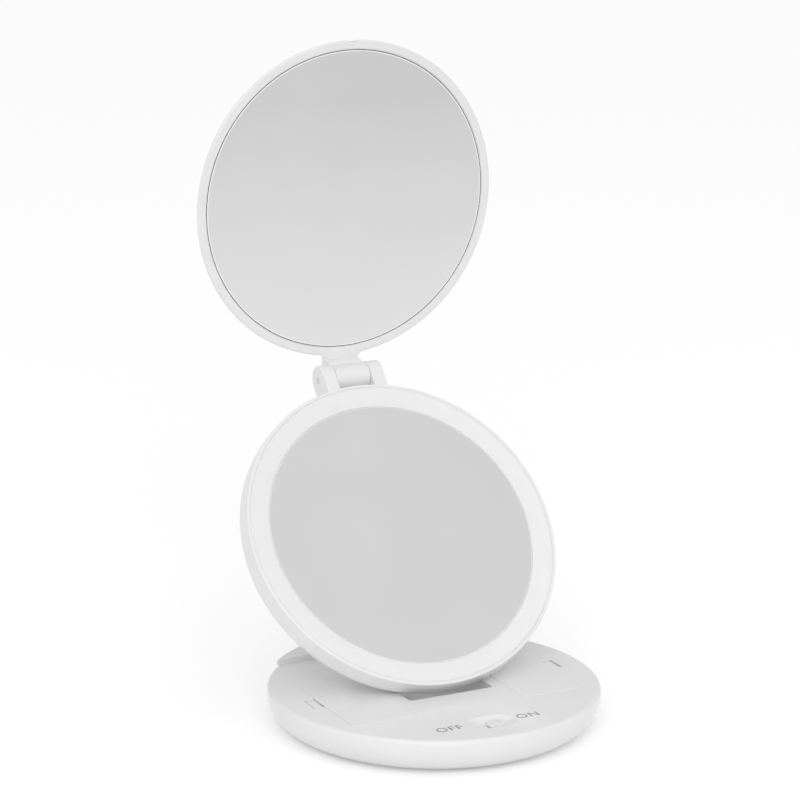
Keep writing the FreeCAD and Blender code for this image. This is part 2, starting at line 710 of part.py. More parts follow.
def switch_knob():
    """A ribbed cap on a flat stem, drawn at its ON end."""
    low = DISH_LOW + KNOB_FLOOR_GAP
    high = DECK_TOP - KNOB_SUNK
    cap = tile(
        KNOB_X - KNOB_LENGTH / 2, KNOB_X + KNOB_LENGTH / 2, DISH_Y - KNOB_WIDTH / 2, DISH_Y + KNOB_WIDTH / 2,
        low, high, KNOB_ROUND,
    )
    step = KNOB_LENGTH / (RIB_COUNT + 1)
    grooves = []
    for i in range(RIB_COUNT):
        x = KNOB_X - KNOB_LENGTH / 2 + step * (i + 1)
        long = KNOB_WIDTH + OVERRUN
        grooves.append(block(x, DISH_Y, RIB_CUT_WIDTH, long, high - RIB_CUT_DEPTH, high + OVERRUN))
    stem = block(KNOB_X, DISH_Y, STEM_LENGTH, STEM_WIDTH, DISH_PAD_LOW - STEM_ENTRY, low)
    return fused(cap.cut(grooves), stem)


def arm_hinge_pin():
    half = SLOT_HALF + BLOCK_WIDTH
    return rod(ARM_PIN_RADIUS, -half, half, ARM_PIVOT_Y, ARM_PIVOT_Z)


# Support arm, drawn along +Y from its hinge at the origin, its rear face down


def arm_lever():
    """The flat lever, wide at the hinge and narrow at the tongue."""
    half = [
        (ARM_HALF, 0),
        (ARM_HALF, ARM_LENGTH - ARM_TAPER_START),
        (TONGUE_HALF, ARM_LENGTH - ARM_TAPER_END),
        (TONGUE_HALF, ARM_LENGTH),
    ]
    outline = half + [(-x, y) for x, y in reversed(half)]
    wire = Part.makePolygon([V(x, y, -ARM_THICK / 2) for x, y in outline + outline[:1]])
    lever = Part.Face(wire).extrude(V(0, 0, ARM_THICK))
    sides = [
        e for e in lever.Edges
        if e.BoundBox.ZLength < ARM_ROUND and e.BoundBox.YLength > ARM_ROUND
    ]
    return lever.makeFillet(ARM_ROUND, sides)


def arm_cover_plate(gap):
    front = ARM_BARREL_RADIUS + MOVE_GAP
    back = ARM_LENGTH - ARM_COVER_SHORT
    return box(
        gap - ARM_COVER_HALF, ARM_COVER_HALF - gap, front + gap, back - gap,
        -ARM_THICK / 2, ARM_COVER_THICK - ARM_THICK / 2,
    )


def support_arm():
    barrel = rod(ARM_BARREL_RADIUS, -ARM_BARREL_HALF, ARM_BARREL_HALF)
    tongue = rod(ARM_THICK / 2, -TONGUE_HALF, TONGUE_HALF, ARM_LENGTH)
    body = fused(arm_lever(), barrel, tongue)
    inset = ARM_CHANNEL_WALL
    plate = arm_cover_plate(0)
    reach = plate.BoundBox
    channel = box(
        reach.XMin + inset, reach.XMax - inset, reach.YMin + inset, reach.YMax - inset,
        reach.ZMin, reach.ZMax + ARM_CHANNEL_DEPTH,
    )
    pin_hole = rod(ARM_PIN_RADIUS + RUN_FIT, -SLOT_HALF, SLOT_HALF)
    bush_seats = [rod(BUSH_RADIUS, s - BUSH_LENGTH / 2, s + BUSH_LENGTH / 2) for s in bush_places()]
    tilt_hole = rod(TILT_PIN_RADIUS + RUN_FIT, -SLOT_HALF, SLOT_HALF, ARM_LENGTH)
    return body.cut([plate, channel, pin_hole, tilt_hole] + bush_seats).removeSplitter()


def bush_places():
    middle = ARM_BARREL_HALF - BUSH_LENGTH / 2
    return [-middle, middle]


def arm_bushes():
    bushes = []
    for x in bush_places():
        sleeve = rod(BUSH_RADIUS, x - BUSH_LENGTH / 2, x + BUSH_LENGTH / 2)
        hole = rod(ARM_PIN_RADIUS + RUN_FIT, x - BUSH_LENGTH, x + BUSH_LENGTH)
        bushes.append(sleeve.cut(hole))
    return Part.makeCompound(bushes)


# Mirror head, drawn flat


def head_outer_form():
    round_r = HEAD_RADIUS - HEAD_BACK_ROUND
    round_z = HEAD_BACK_ROUND - HEAD_BACK
    edge_r = HEAD_RADIUS - HEAD_EDGE_ROUND
    edge_z = HEAD_LIP - HEAD_EDGE_ROUND
    return turned(
        (0, -HEAD_BACK),
        (round_r, -HEAD_BACK),
        quarter(round_r, round_z, HEAD_BACK_ROUND, -45, 0),
        (HEAD_RADIUS, edge_z),
        quarter(edge_r, edge_z, HEAD_EDGE_ROUND, 45, 90),
        (0, HEAD_LIP),
    )


def head_inner_void():
    """The hollow of the rear shell, with a ledge near the front for the light ring."""
    wall_r = HEAD_RADIUS - HEAD_WALL
    ledge_r = wall_r - RING_SKIRT
    round_r = HEAD_RADIUS - HEAD_BACK_ROUND
    round_z = HEAD_BACK_ROUND - HEAD_BACK
    inner_round = HEAD_BACK_ROUND - HEAD_WALL - RING_SKIRT
    return turned(
        (0, HEAD_FLOOR),
        (round_r, HEAD_FLOOR),
        (round_r, round_z - inner_round),
        quarter(round_r, round_z, inner_round, -45, 0),
        (ledge_r, -RING_SKIRT_DEPTH),
        (wall_r, -RING_SKIRT_DEPTH),
        (wall_r, HEAD_LIP + OVERRUN),
        (0, HEAD_LIP + OVERRUN),
    )


def hinge_ear():
    """The right-hand ear that holds the lid's pin."""
    inner = BARREL_HALF + MOVE_GAP
    outer = inner + HINGE_EAR_WIDTH
    root = HEAD_RADIUS - HINGE_EAR_ROOT
    high = HINGE_EAR_RADIUS - PIN_BEHIND
    low = -HINGE_EAR_RADIUS - PIN_BEHIND
    web = side_prism([(root, low), (PIN_REACH, low), (PIN_REACH, high), (root, high)], inner, outer)
    return web.fuse(rod(HINGE_EAR_RADIUS, inner, outer, PIN_REACH, -PIN_BEHIND))


def head_screw_angle():
    return 180 / HEAD_SCREW_COUNT


def head_screw_at_x():
    low = -HEAD_BACK
    high = CARRIER_LOW
    shank = disc(HEAD_SCREW_RADIUS, low, high, HEAD_SCREW_CIRCLE)
    head = disc(HEAD_SCREW_HEAD, low, low + HEAD_SCREW_HEAD_THICK, HEAD_SCREW_CIRCLE)
    return shank.fuse(head).removeSplitter()


def head_screws():
    return Part.makeCompound(around(head_screw_at_x(), HEAD_SCREW_COUNT, head_screw_angle()))


def bracket_screw_places():
    return [
        (sx * BRACKET_SCREW_X, TILT_ALONG + sy * BRACKET_SCREW_Y)
        for sx in (-1, 1)
        for sy in (-1, 1)
    ]


def head_rear_shell():
    outer = head_outer_form()
    shell = outer.fuse(both_sides(hinge_ear())).cut(head_inner_void())
    boss = disc(HEAD_BOSS_RADIUS, -HEAD_BACK, HEAD_BOSS_TOP, HEAD_SCREW_CIRCLE)
    inside = around(boss, HEAD_SCREW_COUNT, head_screw_angle())
    rib_r = LED_BOARD_MID + RIB_WALL / 2
    inside.append(ring(rib_r, rib_r - RIB_WALL, -HEAD_BACK, led_board_low()))
    boss_top = HEAD_FLOOR + BRACKET_BOSS_RISE
    inside += [disc(BRACKET_BOSS_RADIUS, -HEAD_BACK, boss_top, x, y) for x, y in bracket_screw_places()]
    inside = inside[0].fuse(inside[1:]).common(outer)
    pin_half = BARREL_HALF + MOVE_GAP + HINGE_EAR_WIDTH + OVERRUN
    cuts = [rod(LID_PIN_RADIUS, -pin_half, pin_half, PIN_REACH, -PIN_BEHIND)]
    cuts += around(head_screw_at_x(), HEAD_SCREW_COUNT, head_screw_angle())
    cuts += [bracket_screw(x, y) for x, y in bracket_screw_places()]
    return shell.fuse(inside).cut(cuts).removeSplitter()


def led_board_low():
    return -LED_BOARD_DEPTH - LED_BOARD_THICK


def light_ring():
    """The white diffuser: a flat ring with a skirt at each edge."""
    top = HEAD_LIP
    under = HEAD_LIP - RING_THICK
    return turned(
        (RING_INNER, -GLASS_THICK),
        (RING_INNER + RING_SKIRT, -GLASS_THICK),
        (RING_INNER + RING_SKIRT, under),
        (RING_OUTER - RING_SKIRT, under),
        (RING_OUTER - RING_SKIRT, -RING_SKIRT_DEPTH),
        (RING_OUTER, -RING_SKIRT_DEPTH),
        (RING_OUTER, top - RING_EDGE),
        quarter(RING_OUTER - RING_EDGE, top - RING_EDGE, RING_EDGE, 45, 90),
        (RING_INNER + RING_EDGE, top),
        quarter(RING_INNER + RING_EDGE, top - RING_EDGE, RING_EDGE, 135, 180),
    )


def glass_disc(radius):
    """A mirror glass with a ground bevel round its face."""
    return turned(
        (0, -GLASS_THICK),
        (radius, -GLASS_THICK),
        (radius, -GLASS_BEVEL),
        (radius - GLASS_BEVEL, 0),
        (0, 0),
    )


def head_mirror():
    return glass_disc(HEAD_MIRROR_RADIUS)


def mirror_carrier():
    """The plate that the head's mirror and light ring rest on, with a standoff on each boss of the shell."""
    plate = disc(RING_INNER + RING_SKIRT, CARRIER_LOW, -GLASS_THICK)
    standoff = disc(HEAD_BOSS_RADIUS, HEAD_BOSS_TOP, CARRIER_LOW, HEAD_SCREW_CIRCLE)
    body = fused(plate, *around(standoff, HEAD_SCREW_COUNT, head_screw_angle()))
    return body.cut(around(head_screw_at_x(), HEAD_SCREW_COUNT, head_screw_angle()))


def led_board():
    half = LED_BOARD_WIDTH / 2
    return ring(LED_BOARD_MID + half, LED_BOARD_MID - half, led_board_low(), -LED_BOARD_DEPTH)


def led_chips():
    chip = box(
        LED_BOARD_MID - LED_WIDTH / 2, LED_BOARD_MID + LED_WIDTH / 2, -LED_LENGTH / 2, LED_LENGTH / 2,
        -LED_BOARD_DEPTH, LED_HEIGHT - LED_BOARD_DEPTH,
    )
    return Part.makeCompound(around(chip, LED_COUNT, 180 / LED_COUNT))


def bracket_screw(x, y):
    face = -HEAD_BACK - BRACKET_THICK
    shank = disc(BRACKET_SCREW_RADIUS, face, face + BRACKET_SCREW_LENGTH, x, y)
    head = disc(BRACKET_SCREW_HEAD, face - BRACKET_SCREW_HEAD_THICK, face, x, y)
    return shank.fuse(head).removeSplitter()


def bracket_screws():
    return Part.makeCompound([bracket_screw(x, y) for x, y in bracket_screw_places()])


def tilt_bracket():
    """The plate on the head's back with two ears that hold the tilt pin."""
    plate = tile(
        -BRACKET_HALF_WIDTH, BRACKET_HALF_WIDTH,
        TILT_ALONG - BRACKET_HALF_LENGTH, TILT_ALONG + BRACKET_HALF_LENGTH,
        -HEAD_BACK - BRACKET_THICK, -HEAD_BACK, BRACKET_CORNER,
    )
    face = -HEAD_BACK - BRACKET_THICK
    outline = [
        (TILT_ALONG - EAR_FOOT, face),
        (TILT_ALONG + EAR_FOOT, face),
        (TILT_ALONG + EAR_RADIUS, -TILT_BEHIND),
        (TILT_ALONG - EAR_RADIUS, -TILT_BEHIND),
    ]
    boss = rod(EAR_RADIUS, EAR_INNER, EAR_OUTER, TILT_ALONG, -TILT_BEHIND)
    ear = side_prism(outline, EAR_INNER, EAR_OUTER).fuse(boss)
    body = fused(plate, *both_sides(ear))
    pin_hole = rod(TILT_PIN_RADIUS, -BRACKET_HALF_WIDTH, BRACKET_HALF_WIDTH, TILT_ALONG, -TILT_BEHIND)
    return body.cut([pin_hole] + [bracket_screw(x, y) for x, y in bracket_screw_places()])


def tilt_pin():
    return rod(TILT_PIN_RADIUS, -EAR_OUTER, EAR_OUTER, TILT_ALONG, -TILT_BEHIND)


def tilt_washers():
    start = TONGUE_HALF + MOVE_GAP
    washer = rod(ARM_THICK / 2, start, start + WASHER_THICK, TILT_ALONG, -TILT_BEHIND)
    hole = rod(TILT_PIN_RADIUS + RUN_FIT, start - OVERRUN, start + OVERRUN, TILT_ALONG, -TILT_BEHIND)
    return Part.makeCompound(both_sides(washer.cut(hole)))


def lid_hinge_pin():
    half = BARREL_HALF + MOVE_GAP + HINGE_EAR_WIDTH
    return rod(LID_PIN_RADIUS, -half, half, PIN_REACH, -PIN_BEHIND)


# Lid, drawn flat


def lid_barrel_and_neck():
    """The hinge barrel, and the neck that reaches forward to it, flush with the front of the lid's rim."""
    face = -(HEAD_RADIUS + NECK_CLEAR)
    foot = LID_FRAME_WIDTH / 2 - LID_RADIUS
    corner = -PIN_REACH
    outline = [
        (foot, -LID_FRAME_DEPTH),
        (corner + NECK_SHORT, -LID_FRAME_DEPTH),
        (corner - BARREL_RADIUS, LID_PIN_UP),
        (corner + BARREL_RADIUS, LID_PIN_UP),
        (face, LID_PIN_UP - BARREL_RADIUS),
        (face, LID_LIP),
        (foot, LID_LIP),
    ]
    neck = side_prism(outline, -BARREL_HALF, BARREL_HALF)
    return neck.fuse(rod(BARREL_RADIUS, -BARREL_HALF, BARREL_HALF, corner, LID_PIN_UP))


def lid_back_shell():
    """A shallow dish whose edge sweeps in from the rim to a flat back, with ribs under the pad."""
    centre_z = LID_BACK_ROUND - LID_BACK
    rise = centre_z + LID_FRAME_DEPTH
    flat = LID_RADIUS - LID_SIDE_LEAN - math.sqrt(LID_BACK_ROUND**2 - rise**2)

    def dish(radius, low):
        end = -math.degrees(math.asin(rise / radius))
        sweep = quarter(flat, centre_z, radius, (end - 90) / 2, end)
        return turned((0, low), (flat, low), sweep, (0, -LID_FRAME_DEPTH))

    outer = dish(LID_BACK_ROUND, -LID_BACK)
    void = dish(LID_BACK_ROUND - LID_WALL, LID_WALL - LID_BACK)
    pad_low = -GLASS_THICK - LID_PAD_THICK
    pad_radius = LID_MIRROR_RADIUS - LID_PAD_MARGIN
    ribs = []
    for i in range(LID_RIB_COUNT):
        radius = pad_radius * (i + 1) / LID_RIB_COUNT
        ribs.append(ring(radius, radius - RIB_WALL, -LID_BACK, pad_low).common(outer))
    return fused(outer.cut(void), *ribs)


def lid_front_frame():
    """The narrow rim round the lid's mirror, with a thumb notch at the top and the hinge barrel below."""
    inner = LID_RADIUS - LID_FRAME_WIDTH
    edge_r = LID_RADIUS - LID_EDGE_ROUND
    edge_z = LID_LIP - LID_EDGE_ROUND
    rim = turned(
        (inner, -LID_FRAME_DEPTH),
        (LID_RADIUS - LID_SIDE_LEAN, -LID_FRAME_DEPTH),
        (LID_RADIUS, edge_z),
        quarter(edge_r, edge_z, LID_EDGE_ROUND, 45, 90),
        (inner, LID_LIP),
    )
    centre = LID_RADIUS + NOTCH_RADIUS - NOTCH_DEPTH
    notch = disc(NOTCH_RADIUS, -LID_FRAME_DEPTH - OVERRUN, LID_LIP + OVERRUN, 0, centre)
    pin_hole = rod(LID_PIN_RADIUS + RUN_FIT, -SLOT_HALF, SLOT_HALF, -PIN_REACH, LID_PIN_UP)
    return fused(rim.cut(notch), lid_barrel_and_neck()).cut(pin_hole)


def lid_mirror():
    return glass_disc(LID_MIRROR_RADIUS)


def lid_mirror_pad():
    return disc(LID_MIRROR_RADIUS - LID_PAD_MARGIN, -GLASS_THICK - LID_PAD_THICK, -GLASS_THICK)


# Every node by name, with its pose


def base_nodes():
    return {
        "base_housing": base_housing(),
        "base_bottom_plate": bottom_plate(),
        "base_screws": base_screws(),
        "foot_pad": foot_pad(),
        "rear_hinge_cover": rear_hinge_cover(),
        "battery_cover_right": battery_cover(),
        "battery_cover_left": mirrored(battery_cover()),
        "battery_cells_right": battery_cells(),
        "battery_cells_left": mirrored(battery_cells()),
        "battery_contacts_right": battery_contacts(),
        "battery_contacts_left": mirrored(battery_contacts()),
        "switch_board": switch_board(),
        "slide_switch_body": slide_switch_body(),
        "switch_knob": switch_knob(),
        "arm_hinge_pin": arm_hinge_pin(),
    }


def arm_nodes():
    flat = {
        "support_arm": support_arm(),
        "arm_rear_cover": arm_cover_plate(SEAT_GAP),
        "arm_bushes": arm_bushes(),
    }
    return {name: posed(shape, ARM_TURN, ARM_PIVOT_Y, ARM_PIVOT_Z) for name, shape in flat.items()}


def head_nodes():
    flat = {
        "head_rear_shell": head_rear_shell(),
        "light_ring": light_ring(),
        "head_mirror": head_mirror(),
        "mirror_carrier": mirror_carrier(),
        "led_board": led_board(),
        "led_chips": led_chips(),
        "head_screws": head_screws(),
        "tilt_bracket": tilt_bracket(),
        "bracket_screws": bracket_screws(),
        "tilt_pin": tilt_pin(),
        "tilt_washers": tilt_washers(),
        "lid_hinge_pin": lid_hinge_pin(),
    }
    return {name: posed(shape, HEAD_TURN, HEAD_Y, HEAD_Z) for name, shape in flat.items()}


def lid_nodes():
    flat = {
        "lid_back_shell": lid_back_shell(),
        "lid_front_frame": lid_front_frame(),
        "lid_mirror": lid_mirror(),
        "lid_mirror_pad": lid_mirror_pad(),
    }
    return {name: posed(shape, LID_TURN, LID_Y, LID_Z) for name, shape in flat.items()}


def main():
    os.makedirs("parts", exist_ok=True)
    nodes = {**base_nodes(), **arm_nodes(), **head_nodes(), **lid_nodes()}
    for name, shape in nodes.items():
        if not shape.isValid():
            print("not valid:", name)
        shape.exportStep("parts/" + name + ".step")
    print("deck top", round(DECK_TOP, 4), "head centre", round(HEAD_Y, 4), round(HEAD_Z, 4))
    print("arm pivot", round(ARM_PIVOT_Y, 4), round(ARM_PIVOT_Z, 4), "length", round(ARM_LENGTH, 4))
    print("tilt pivot", round(TILT_Y, 4), round(TILT_Z, 4), "up the head", round(TILT_ALONG, 4))
    print("lid pin", round(LID_PIN_Y, 4), round(LID_PIN_Z, 4), "lid centre", round(LID_Y, 4), round(LID_Z, 4))
    print("arm folds", round(ARM_FOLDED_TURN - ARM_TURN, 4), "head turns", round(HEAD_TURN, 4))
    print("cover tab axis", round(TAB_X, 4), round(TAB_Z, 4), "knob travel", KNOB_TRAVEL)


main()
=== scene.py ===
# %% [markdown]
# # Dressing a folding lit mirror
# The object is a white travel mirror that stands on a round battery base. A lit mirror leans on a folding
# arm, and a second mirror is its lid. The CAD model gives every size and joint, and this notebook gives the
# looks. Each cell makes one piece or one finish, so it can be run and looked at by itself.

# %% Load the frame
import json
import math

import bpy
from mathutils import Matrix, Quaternion, Vector


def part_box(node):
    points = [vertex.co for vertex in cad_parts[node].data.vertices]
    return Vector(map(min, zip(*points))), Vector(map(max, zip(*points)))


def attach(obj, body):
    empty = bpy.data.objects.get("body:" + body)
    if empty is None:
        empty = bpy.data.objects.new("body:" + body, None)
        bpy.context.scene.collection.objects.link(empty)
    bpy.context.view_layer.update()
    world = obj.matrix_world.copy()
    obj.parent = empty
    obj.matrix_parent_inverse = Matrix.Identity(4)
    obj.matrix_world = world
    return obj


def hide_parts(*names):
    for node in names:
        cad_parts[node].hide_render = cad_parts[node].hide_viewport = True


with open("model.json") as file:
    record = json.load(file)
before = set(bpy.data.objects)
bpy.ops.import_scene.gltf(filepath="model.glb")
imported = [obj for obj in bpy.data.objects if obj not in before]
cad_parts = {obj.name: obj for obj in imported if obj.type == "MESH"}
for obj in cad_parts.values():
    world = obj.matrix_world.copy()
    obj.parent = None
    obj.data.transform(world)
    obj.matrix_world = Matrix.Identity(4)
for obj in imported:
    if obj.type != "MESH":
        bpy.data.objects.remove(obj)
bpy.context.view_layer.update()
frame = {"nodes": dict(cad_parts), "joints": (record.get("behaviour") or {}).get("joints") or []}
MM = 0.001

# %% [markdown]
# ## Where things lie
# A tilted disc is awkward to model in place. It is easier to draw it flat at the origin, face up, and to
# stand it up at the end. The pose of each disc is read from its CAD node: the largest face gives the way it
# looks, and the points give its middle.

# %% Poses and pivots read from the frame
JOINTS = {joint["name"]: joint for joint in frame["joints"]}
ACROSS = Vector((1, 0, 0))


def upright_pose(along, out, place):
    """A matrix that takes X to X, Y to along and Z to out, and the origin to a place."""
    pose = Matrix((ACROSS, along, out)).transposed().to_4x4()
    pose.translation = place
    return pose


def disc_pose(node):
    """The pose of a disc: the middle of its face, and the way that face looks."""
    mesh = frame["nodes"][node].data
    out = max(mesh.polygons, key=lambda face: face.area).normal.copy()
    if out.y > 0:
        out.negate()
    up = out.cross(ACROSS)
    heights = [vertex.co.dot(up) for vertex in mesh.vertices]
    front = max(vertex.co.dot(out) for vertex in mesh.vertices)
    return upright_pose(up, out, up * (min(heights) + max(heights)) / 2 + out * front)


def reach(node):
    """The radius of a round node: every disc here is widest along X."""
    return max(abs(vertex.co.x) for vertex in frame["nodes"][node].data.vertices)


def pivot(joint):
    return Vector(JOINTS[joint]["pos_m"])


HEAD_POSE = disc_pose("head_mirror")
LID_POSE = disc_pose("lid_mirror")
ARM_AXIS = pivot("arm_fold")
TILT_AXIS = pivot("head_tilt")
LID_AXIS = pivot("lid_hinge")
ARM_LENGTH = (TILT_AXIS - ARM_AXIS).length
ARM_ALONG = (TILT_AXIS - ARM_AXIS).normalized()
ARM_POSE = upright_pose(ARM_ALONG, ACROSS.cross(ARM_ALONG), ARM_AXIS)
BASE_RADIUS = reach("base_housing")
HEAD_RADIUS = reach("head_rear_shell")
LID_RADIUS = reach("lid_front_frame")
DECK_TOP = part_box("rear_hinge_cover")[0].z
BASE_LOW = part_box("base_housing")[0].z
print("radii in mm", [round(r / MM, 2) for r in (BASE_RADIUS, HEAD_RADIUS, LID_RADIUS)])

# %% [markdown]
# ## Camera
# The photograph was taken with a long lens from the front left, a little above the object. The camera's place
# and lens come from matching the outlines of the three discs, so that each falls on its own ellipse.

# %% Camera
CAMERA_PLACE = Vector((-447.76, -849.31, 354.99)) * MM
CAMERA_AZIMUTH = math.radians(26.984)
CAMERA_DIP = math.radians(13.32)
CAMERA_ROLL = math.radians(0.23)
FOCAL_PIXELS = 2600
PICTURE_PIXELS = 800
FAR_CLIP = 50.0

bpy.ops.object.select_all(action="DESELECT")
bpy.ops.object.camera_add(location=CAMERA_PLACE)
camera = bpy.context.object
look = Vector((
    math.sin(CAMERA_AZIMUTH) * math.cos(CAMERA_DIP),
    math.cos(CAMERA_AZIMUTH) * math.cos(CAMERA_DIP),
    -math.sin(CAMERA_DIP),
))
camera.rotation_euler = (look.to_track_quat("-Z", "Y") @ Quaternion((0, 0, 1), CAMERA_ROLL)).to_euler()
camera.data.lens = FOCAL_PIXELS / PICTURE_PIXELS * camera.data.sensor_width
camera.data.clip_end = FAR_CLIP
bpy.context.scene.camera = camera
bpy.context.scene.view_settings.view_transform = "Standard"
print("lens", round(camera.data.lens, 1), "mm")

# %% [markdown]
# ## Shader helpers
# A finish is a small network of nodes. One helper adds a node with its values and links in a single call,
# which keeps the recipes below short enough to read.

# %% Node helpers
def add_node(tree, kind, inputs=None, **settings):
    made = tree.nodes.new(kind)
    for key, value in settings.items():
        setattr(made, key, value)
    for key, value in (inputs or {}).items():
        if isinstance(value, bpy.types.NodeSocket):
            tree.links.new(value, made.inputs[key])
        else:
            made.inputs[key].default_value = value
    return made


def math_node(tree, operation, first, second):
    return add_node(tree, "ShaderNodeMath", {0: first, 1: second}, operation=operation).outputs[0]


def rescale(tree, value, before, after=(0, 1)):
    """Takes a value from one range to another and holds it at the ends."""
    made = add_node(tree, "ShaderNodeMapRange", {
        "Value": value, "From Min": before[0], "From Max": before[1], "To Min": after[0], "To Max": after[1],
    })
    return made.outputs[0]


def noise(tree, vector, scale, detail, twist=0):
    """A soft random pattern between 0 and 1."""
    values = {"Vector": vector, "Scale": scale, "Detail": detail, "Distortion": twist}
    return add_node(tree, "ShaderNodeTexNoise", values).outputs[0]


def new_group(name, inputs, outputs):
    """A node group with named sockets. Inputs are {name: default}, and None stands for a vector."""
    tree = bpy.data.node_groups.new(name, "ShaderNodeTree")
    for label, value in inputs.items():
        kind = "NodeSocketVector" if value is None else "NodeSocketFloat"
        socket = tree.interface.new_socket(label, in_out="INPUT", socket_type=kind)
        if value is not None:
            socket.default_value = value
    for label in outputs:
        tree.interface.new_socket(label, in_out="OUTPUT", socket_type="NodeSocketFloat")
    return tree, tree.nodes.new("NodeGroupInput"), tree.nodes.new("NodeGroupOutput")


# %% [markdown]
# ## Studio
# The set is a white table under a soft sky of light that is brighter in front than behind, with one large
# lamp at the front left. A real table falls into shade towards the photographer, and the lid's mirror shows
# that fade, so the paint darkens there. A little extra white for the camera and for reflections lifts the
# table to paper white without putting more light on the object. The object's shadow stays.

# %% Floor
FLOOR_SIZE = 40.0
FLOOR_WHITE = 0.9
FLOOR_SHADE = 0.6
FADE_START = -0.12
FADE_END = -0.65
FLOOR_LIFT = 0.25

bpy.ops.mesh.primitive_plane_add(size=FLOOR_SIZE)
floor = bpy.context.object
floor.name = "table_top"
floor_paint = bpy.data.materials.new("table_white")
floor_paint.use_nodes = True
tree = floor_paint.node_tree
tree.nodes.clear()
spot = add_node(tree, "ShaderNodeTexCoord")
spot = add_node(tree, "ShaderNodeSeparateXYZ", {0: spot.outputs["Object"]})
white = rescale(tree, spot.outputs["Y"], (FADE_END, FADE_START), (FLOOR_SHADE, FLOOR_WHITE))
matt = add_node(tree, "ShaderNodeBsdfDiffuse", {"Color": white})
rays = add_node(tree, "ShaderNodeLightPath")
seen = math_node(tree, "ADD", rays.outputs["Is Camera Ray"], rays.outputs["Is Glossy Ray"])
seen = math_node(tree, "ADD", seen, rays.outputs["Is Transmission Ray"])
lift = add_node(tree, "ShaderNodeEmission", {"Strength": math_node(tree, "MULTIPLY", seen, FLOOR_LIFT)})
both = add_node(tree, "ShaderNodeAddShader", {0: matt.outputs[0], 1: lift.outputs[0]})
add_node(tree, "ShaderNodeOutputMaterial", {"Surface": both.outputs[0]})
floor.data.materials.append(floor_paint)
print("floor", floor.dimensions.x, "m across")

# %% Sky and lamp
SKY_AIM = Vector((-0.22, -0.8, 0.55)).normalized()
SKY_BEHIND = 0.48
SKY_AHEAD = 0.93
LAMP_PLACE = Vector((-0.7, -1.4, 1.0))
LAMP_AIM = Vector((0, 0, 0.1))
LAMP_SIZE = 1.2
LAMP_WATTS = 6.5

sky = bpy.data.worlds.new("studio_sky")
sky.use_nodes = True
tree = sky.node_tree
tree.nodes.clear()
way = add_node(tree, "ShaderNodeTexCoord").outputs["Generated"]
facing = add_node(tree, "ShaderNodeVectorMath", {0: way, 1: SKY_AIM}, operation="DOT_PRODUCT")
shade = rescale(tree, facing.outputs["Value"], (-1, 1), (SKY_BEHIND, SKY_AHEAD))
glow = add_node(tree, "ShaderNodeBackground", {"Color": (1, 1, 1, 1), "Strength": shade})
add_node(tree, "ShaderNodeOutputWorld", {"Surface": glow.outputs[0]})
bpy.context.scene.world = sky

bpy.ops.object.light_add(type="AREA", location=LAMP_PLACE)
lamp = bpy.context.object
lamp.rotation_euler = (LAMP_AIM - LAMP_PLACE).to_track_quat("-Z", "Y").to_euler()
lamp.data.size = LAMP_SIZE
lamp.data.energy = LAMP_WATTS
print("lamp", LAMP_WATTS, "W at", round((LAMP_AIM - LAMP_PLACE).length, 2), "m")

# %% [markdown]
# ## Shared surface effects
# Moulded plastic is never perfectly flat: it has a fine skin from the mould and long, shallow waves where it
# cooled. Steel has drawn lines, rubber and foam have cells, and anything that is handled has faint marks.
# Each of these is one node group, used by every finish that needs it.

# %% Node groups
GRAIN_SHARE = 0.25
TONE_RANGE = (0.3, 0.7)
MARK_RANGE = (0.48, 0.75)
MARK_TWIST = 1.2
LINE_STRETCH = (0.02, 1, 1)
LINE_RANGE = (0.35, 0.65)
CELL_RANGE = (0, 0.7)


def moulded_skin_group():
    sockets = {"Vector": None, "Grain": 2600.0, "Wave": 70.0}
    tree, given, result = new_group("moulded_skin", sockets, ["Height", "Tone"])
    grain = noise(tree, given.outputs["Vector"], given.outputs["Grain"], detail=2)
    wave = noise(tree, given.outputs["Vector"], given.outputs["Wave"], detail=1)
    fine = math_node(tree, "MULTIPLY", grain, GRAIN_SHARE)
    tree.links.new(math_node(tree, "ADD", fine, wave), result.inputs["Height"])
    tree.links.new(rescale(tree, wave, TONE_RANGE), result.inputs["Tone"])
    return tree


def handling_marks_group():
    tree, given, result = new_group("handling_marks", {"Vector": None, "Size": 60.0}, ["Mask"])
    marks = noise(tree, given.outputs["Vector"], given.outputs["Size"], detail=4, twist=MARK_TWIST)
    tree.links.new(rescale(tree, marks, MARK_RANGE), result.inputs["Mask"])
    return tree


def drawn_lines_group():
    tree, given, result = new_group("drawn_lines", {"Vector": None, "Lines": 4000.0}, ["Height", "Mask"])
    values = {0: given.outputs["Vector"], 1: LINE_STRETCH}
    stretched = add_node(tree, "ShaderNodeVectorMath", values, operation="MULTIPLY")
    lines = noise(tree, stretched.outputs[0], given.outputs["Lines"], detail=3)
    tree.links.new(lines, result.inputs["Height"])
    tree.links.new(rescale(tree, lines, LINE_RANGE), result.inputs["Mask"])
    return tree


def cell_grain_group():
    tree, given, result = new_group("cell_grain", {"Vector": None, "Cells": 1500.0}, ["Height", "Mask"])
    values = {"Vector": given.outputs["Vector"], "Scale": given.outputs["Cells"]}
    cells = add_node(tree, "ShaderNodeTexVoronoi", values).outputs["Distance"]
    tree.links.new(cells, result.inputs["Height"])
    tree.links.new(rescale(tree, cells, CELL_RANGE), result.inputs["Mask"])
    return tree


SKIN = moulded_skin_group()
MARKS = handling_marks_group()
LINES = drawn_lines_group()
CELLS = cell_grain_group()
print("groups", [g.name for g in (SKIN, MARKS, LINES, CELLS)])

# %% [markdown]
# ## Finishes
# Every finish starts from the Principled shader. What is the same all over, such as metalness or index of
# refraction, is set on the shader itself. What changes over the surface comes from the groups: two close
# tones for the colour, a range for the roughness, and a very small bump.

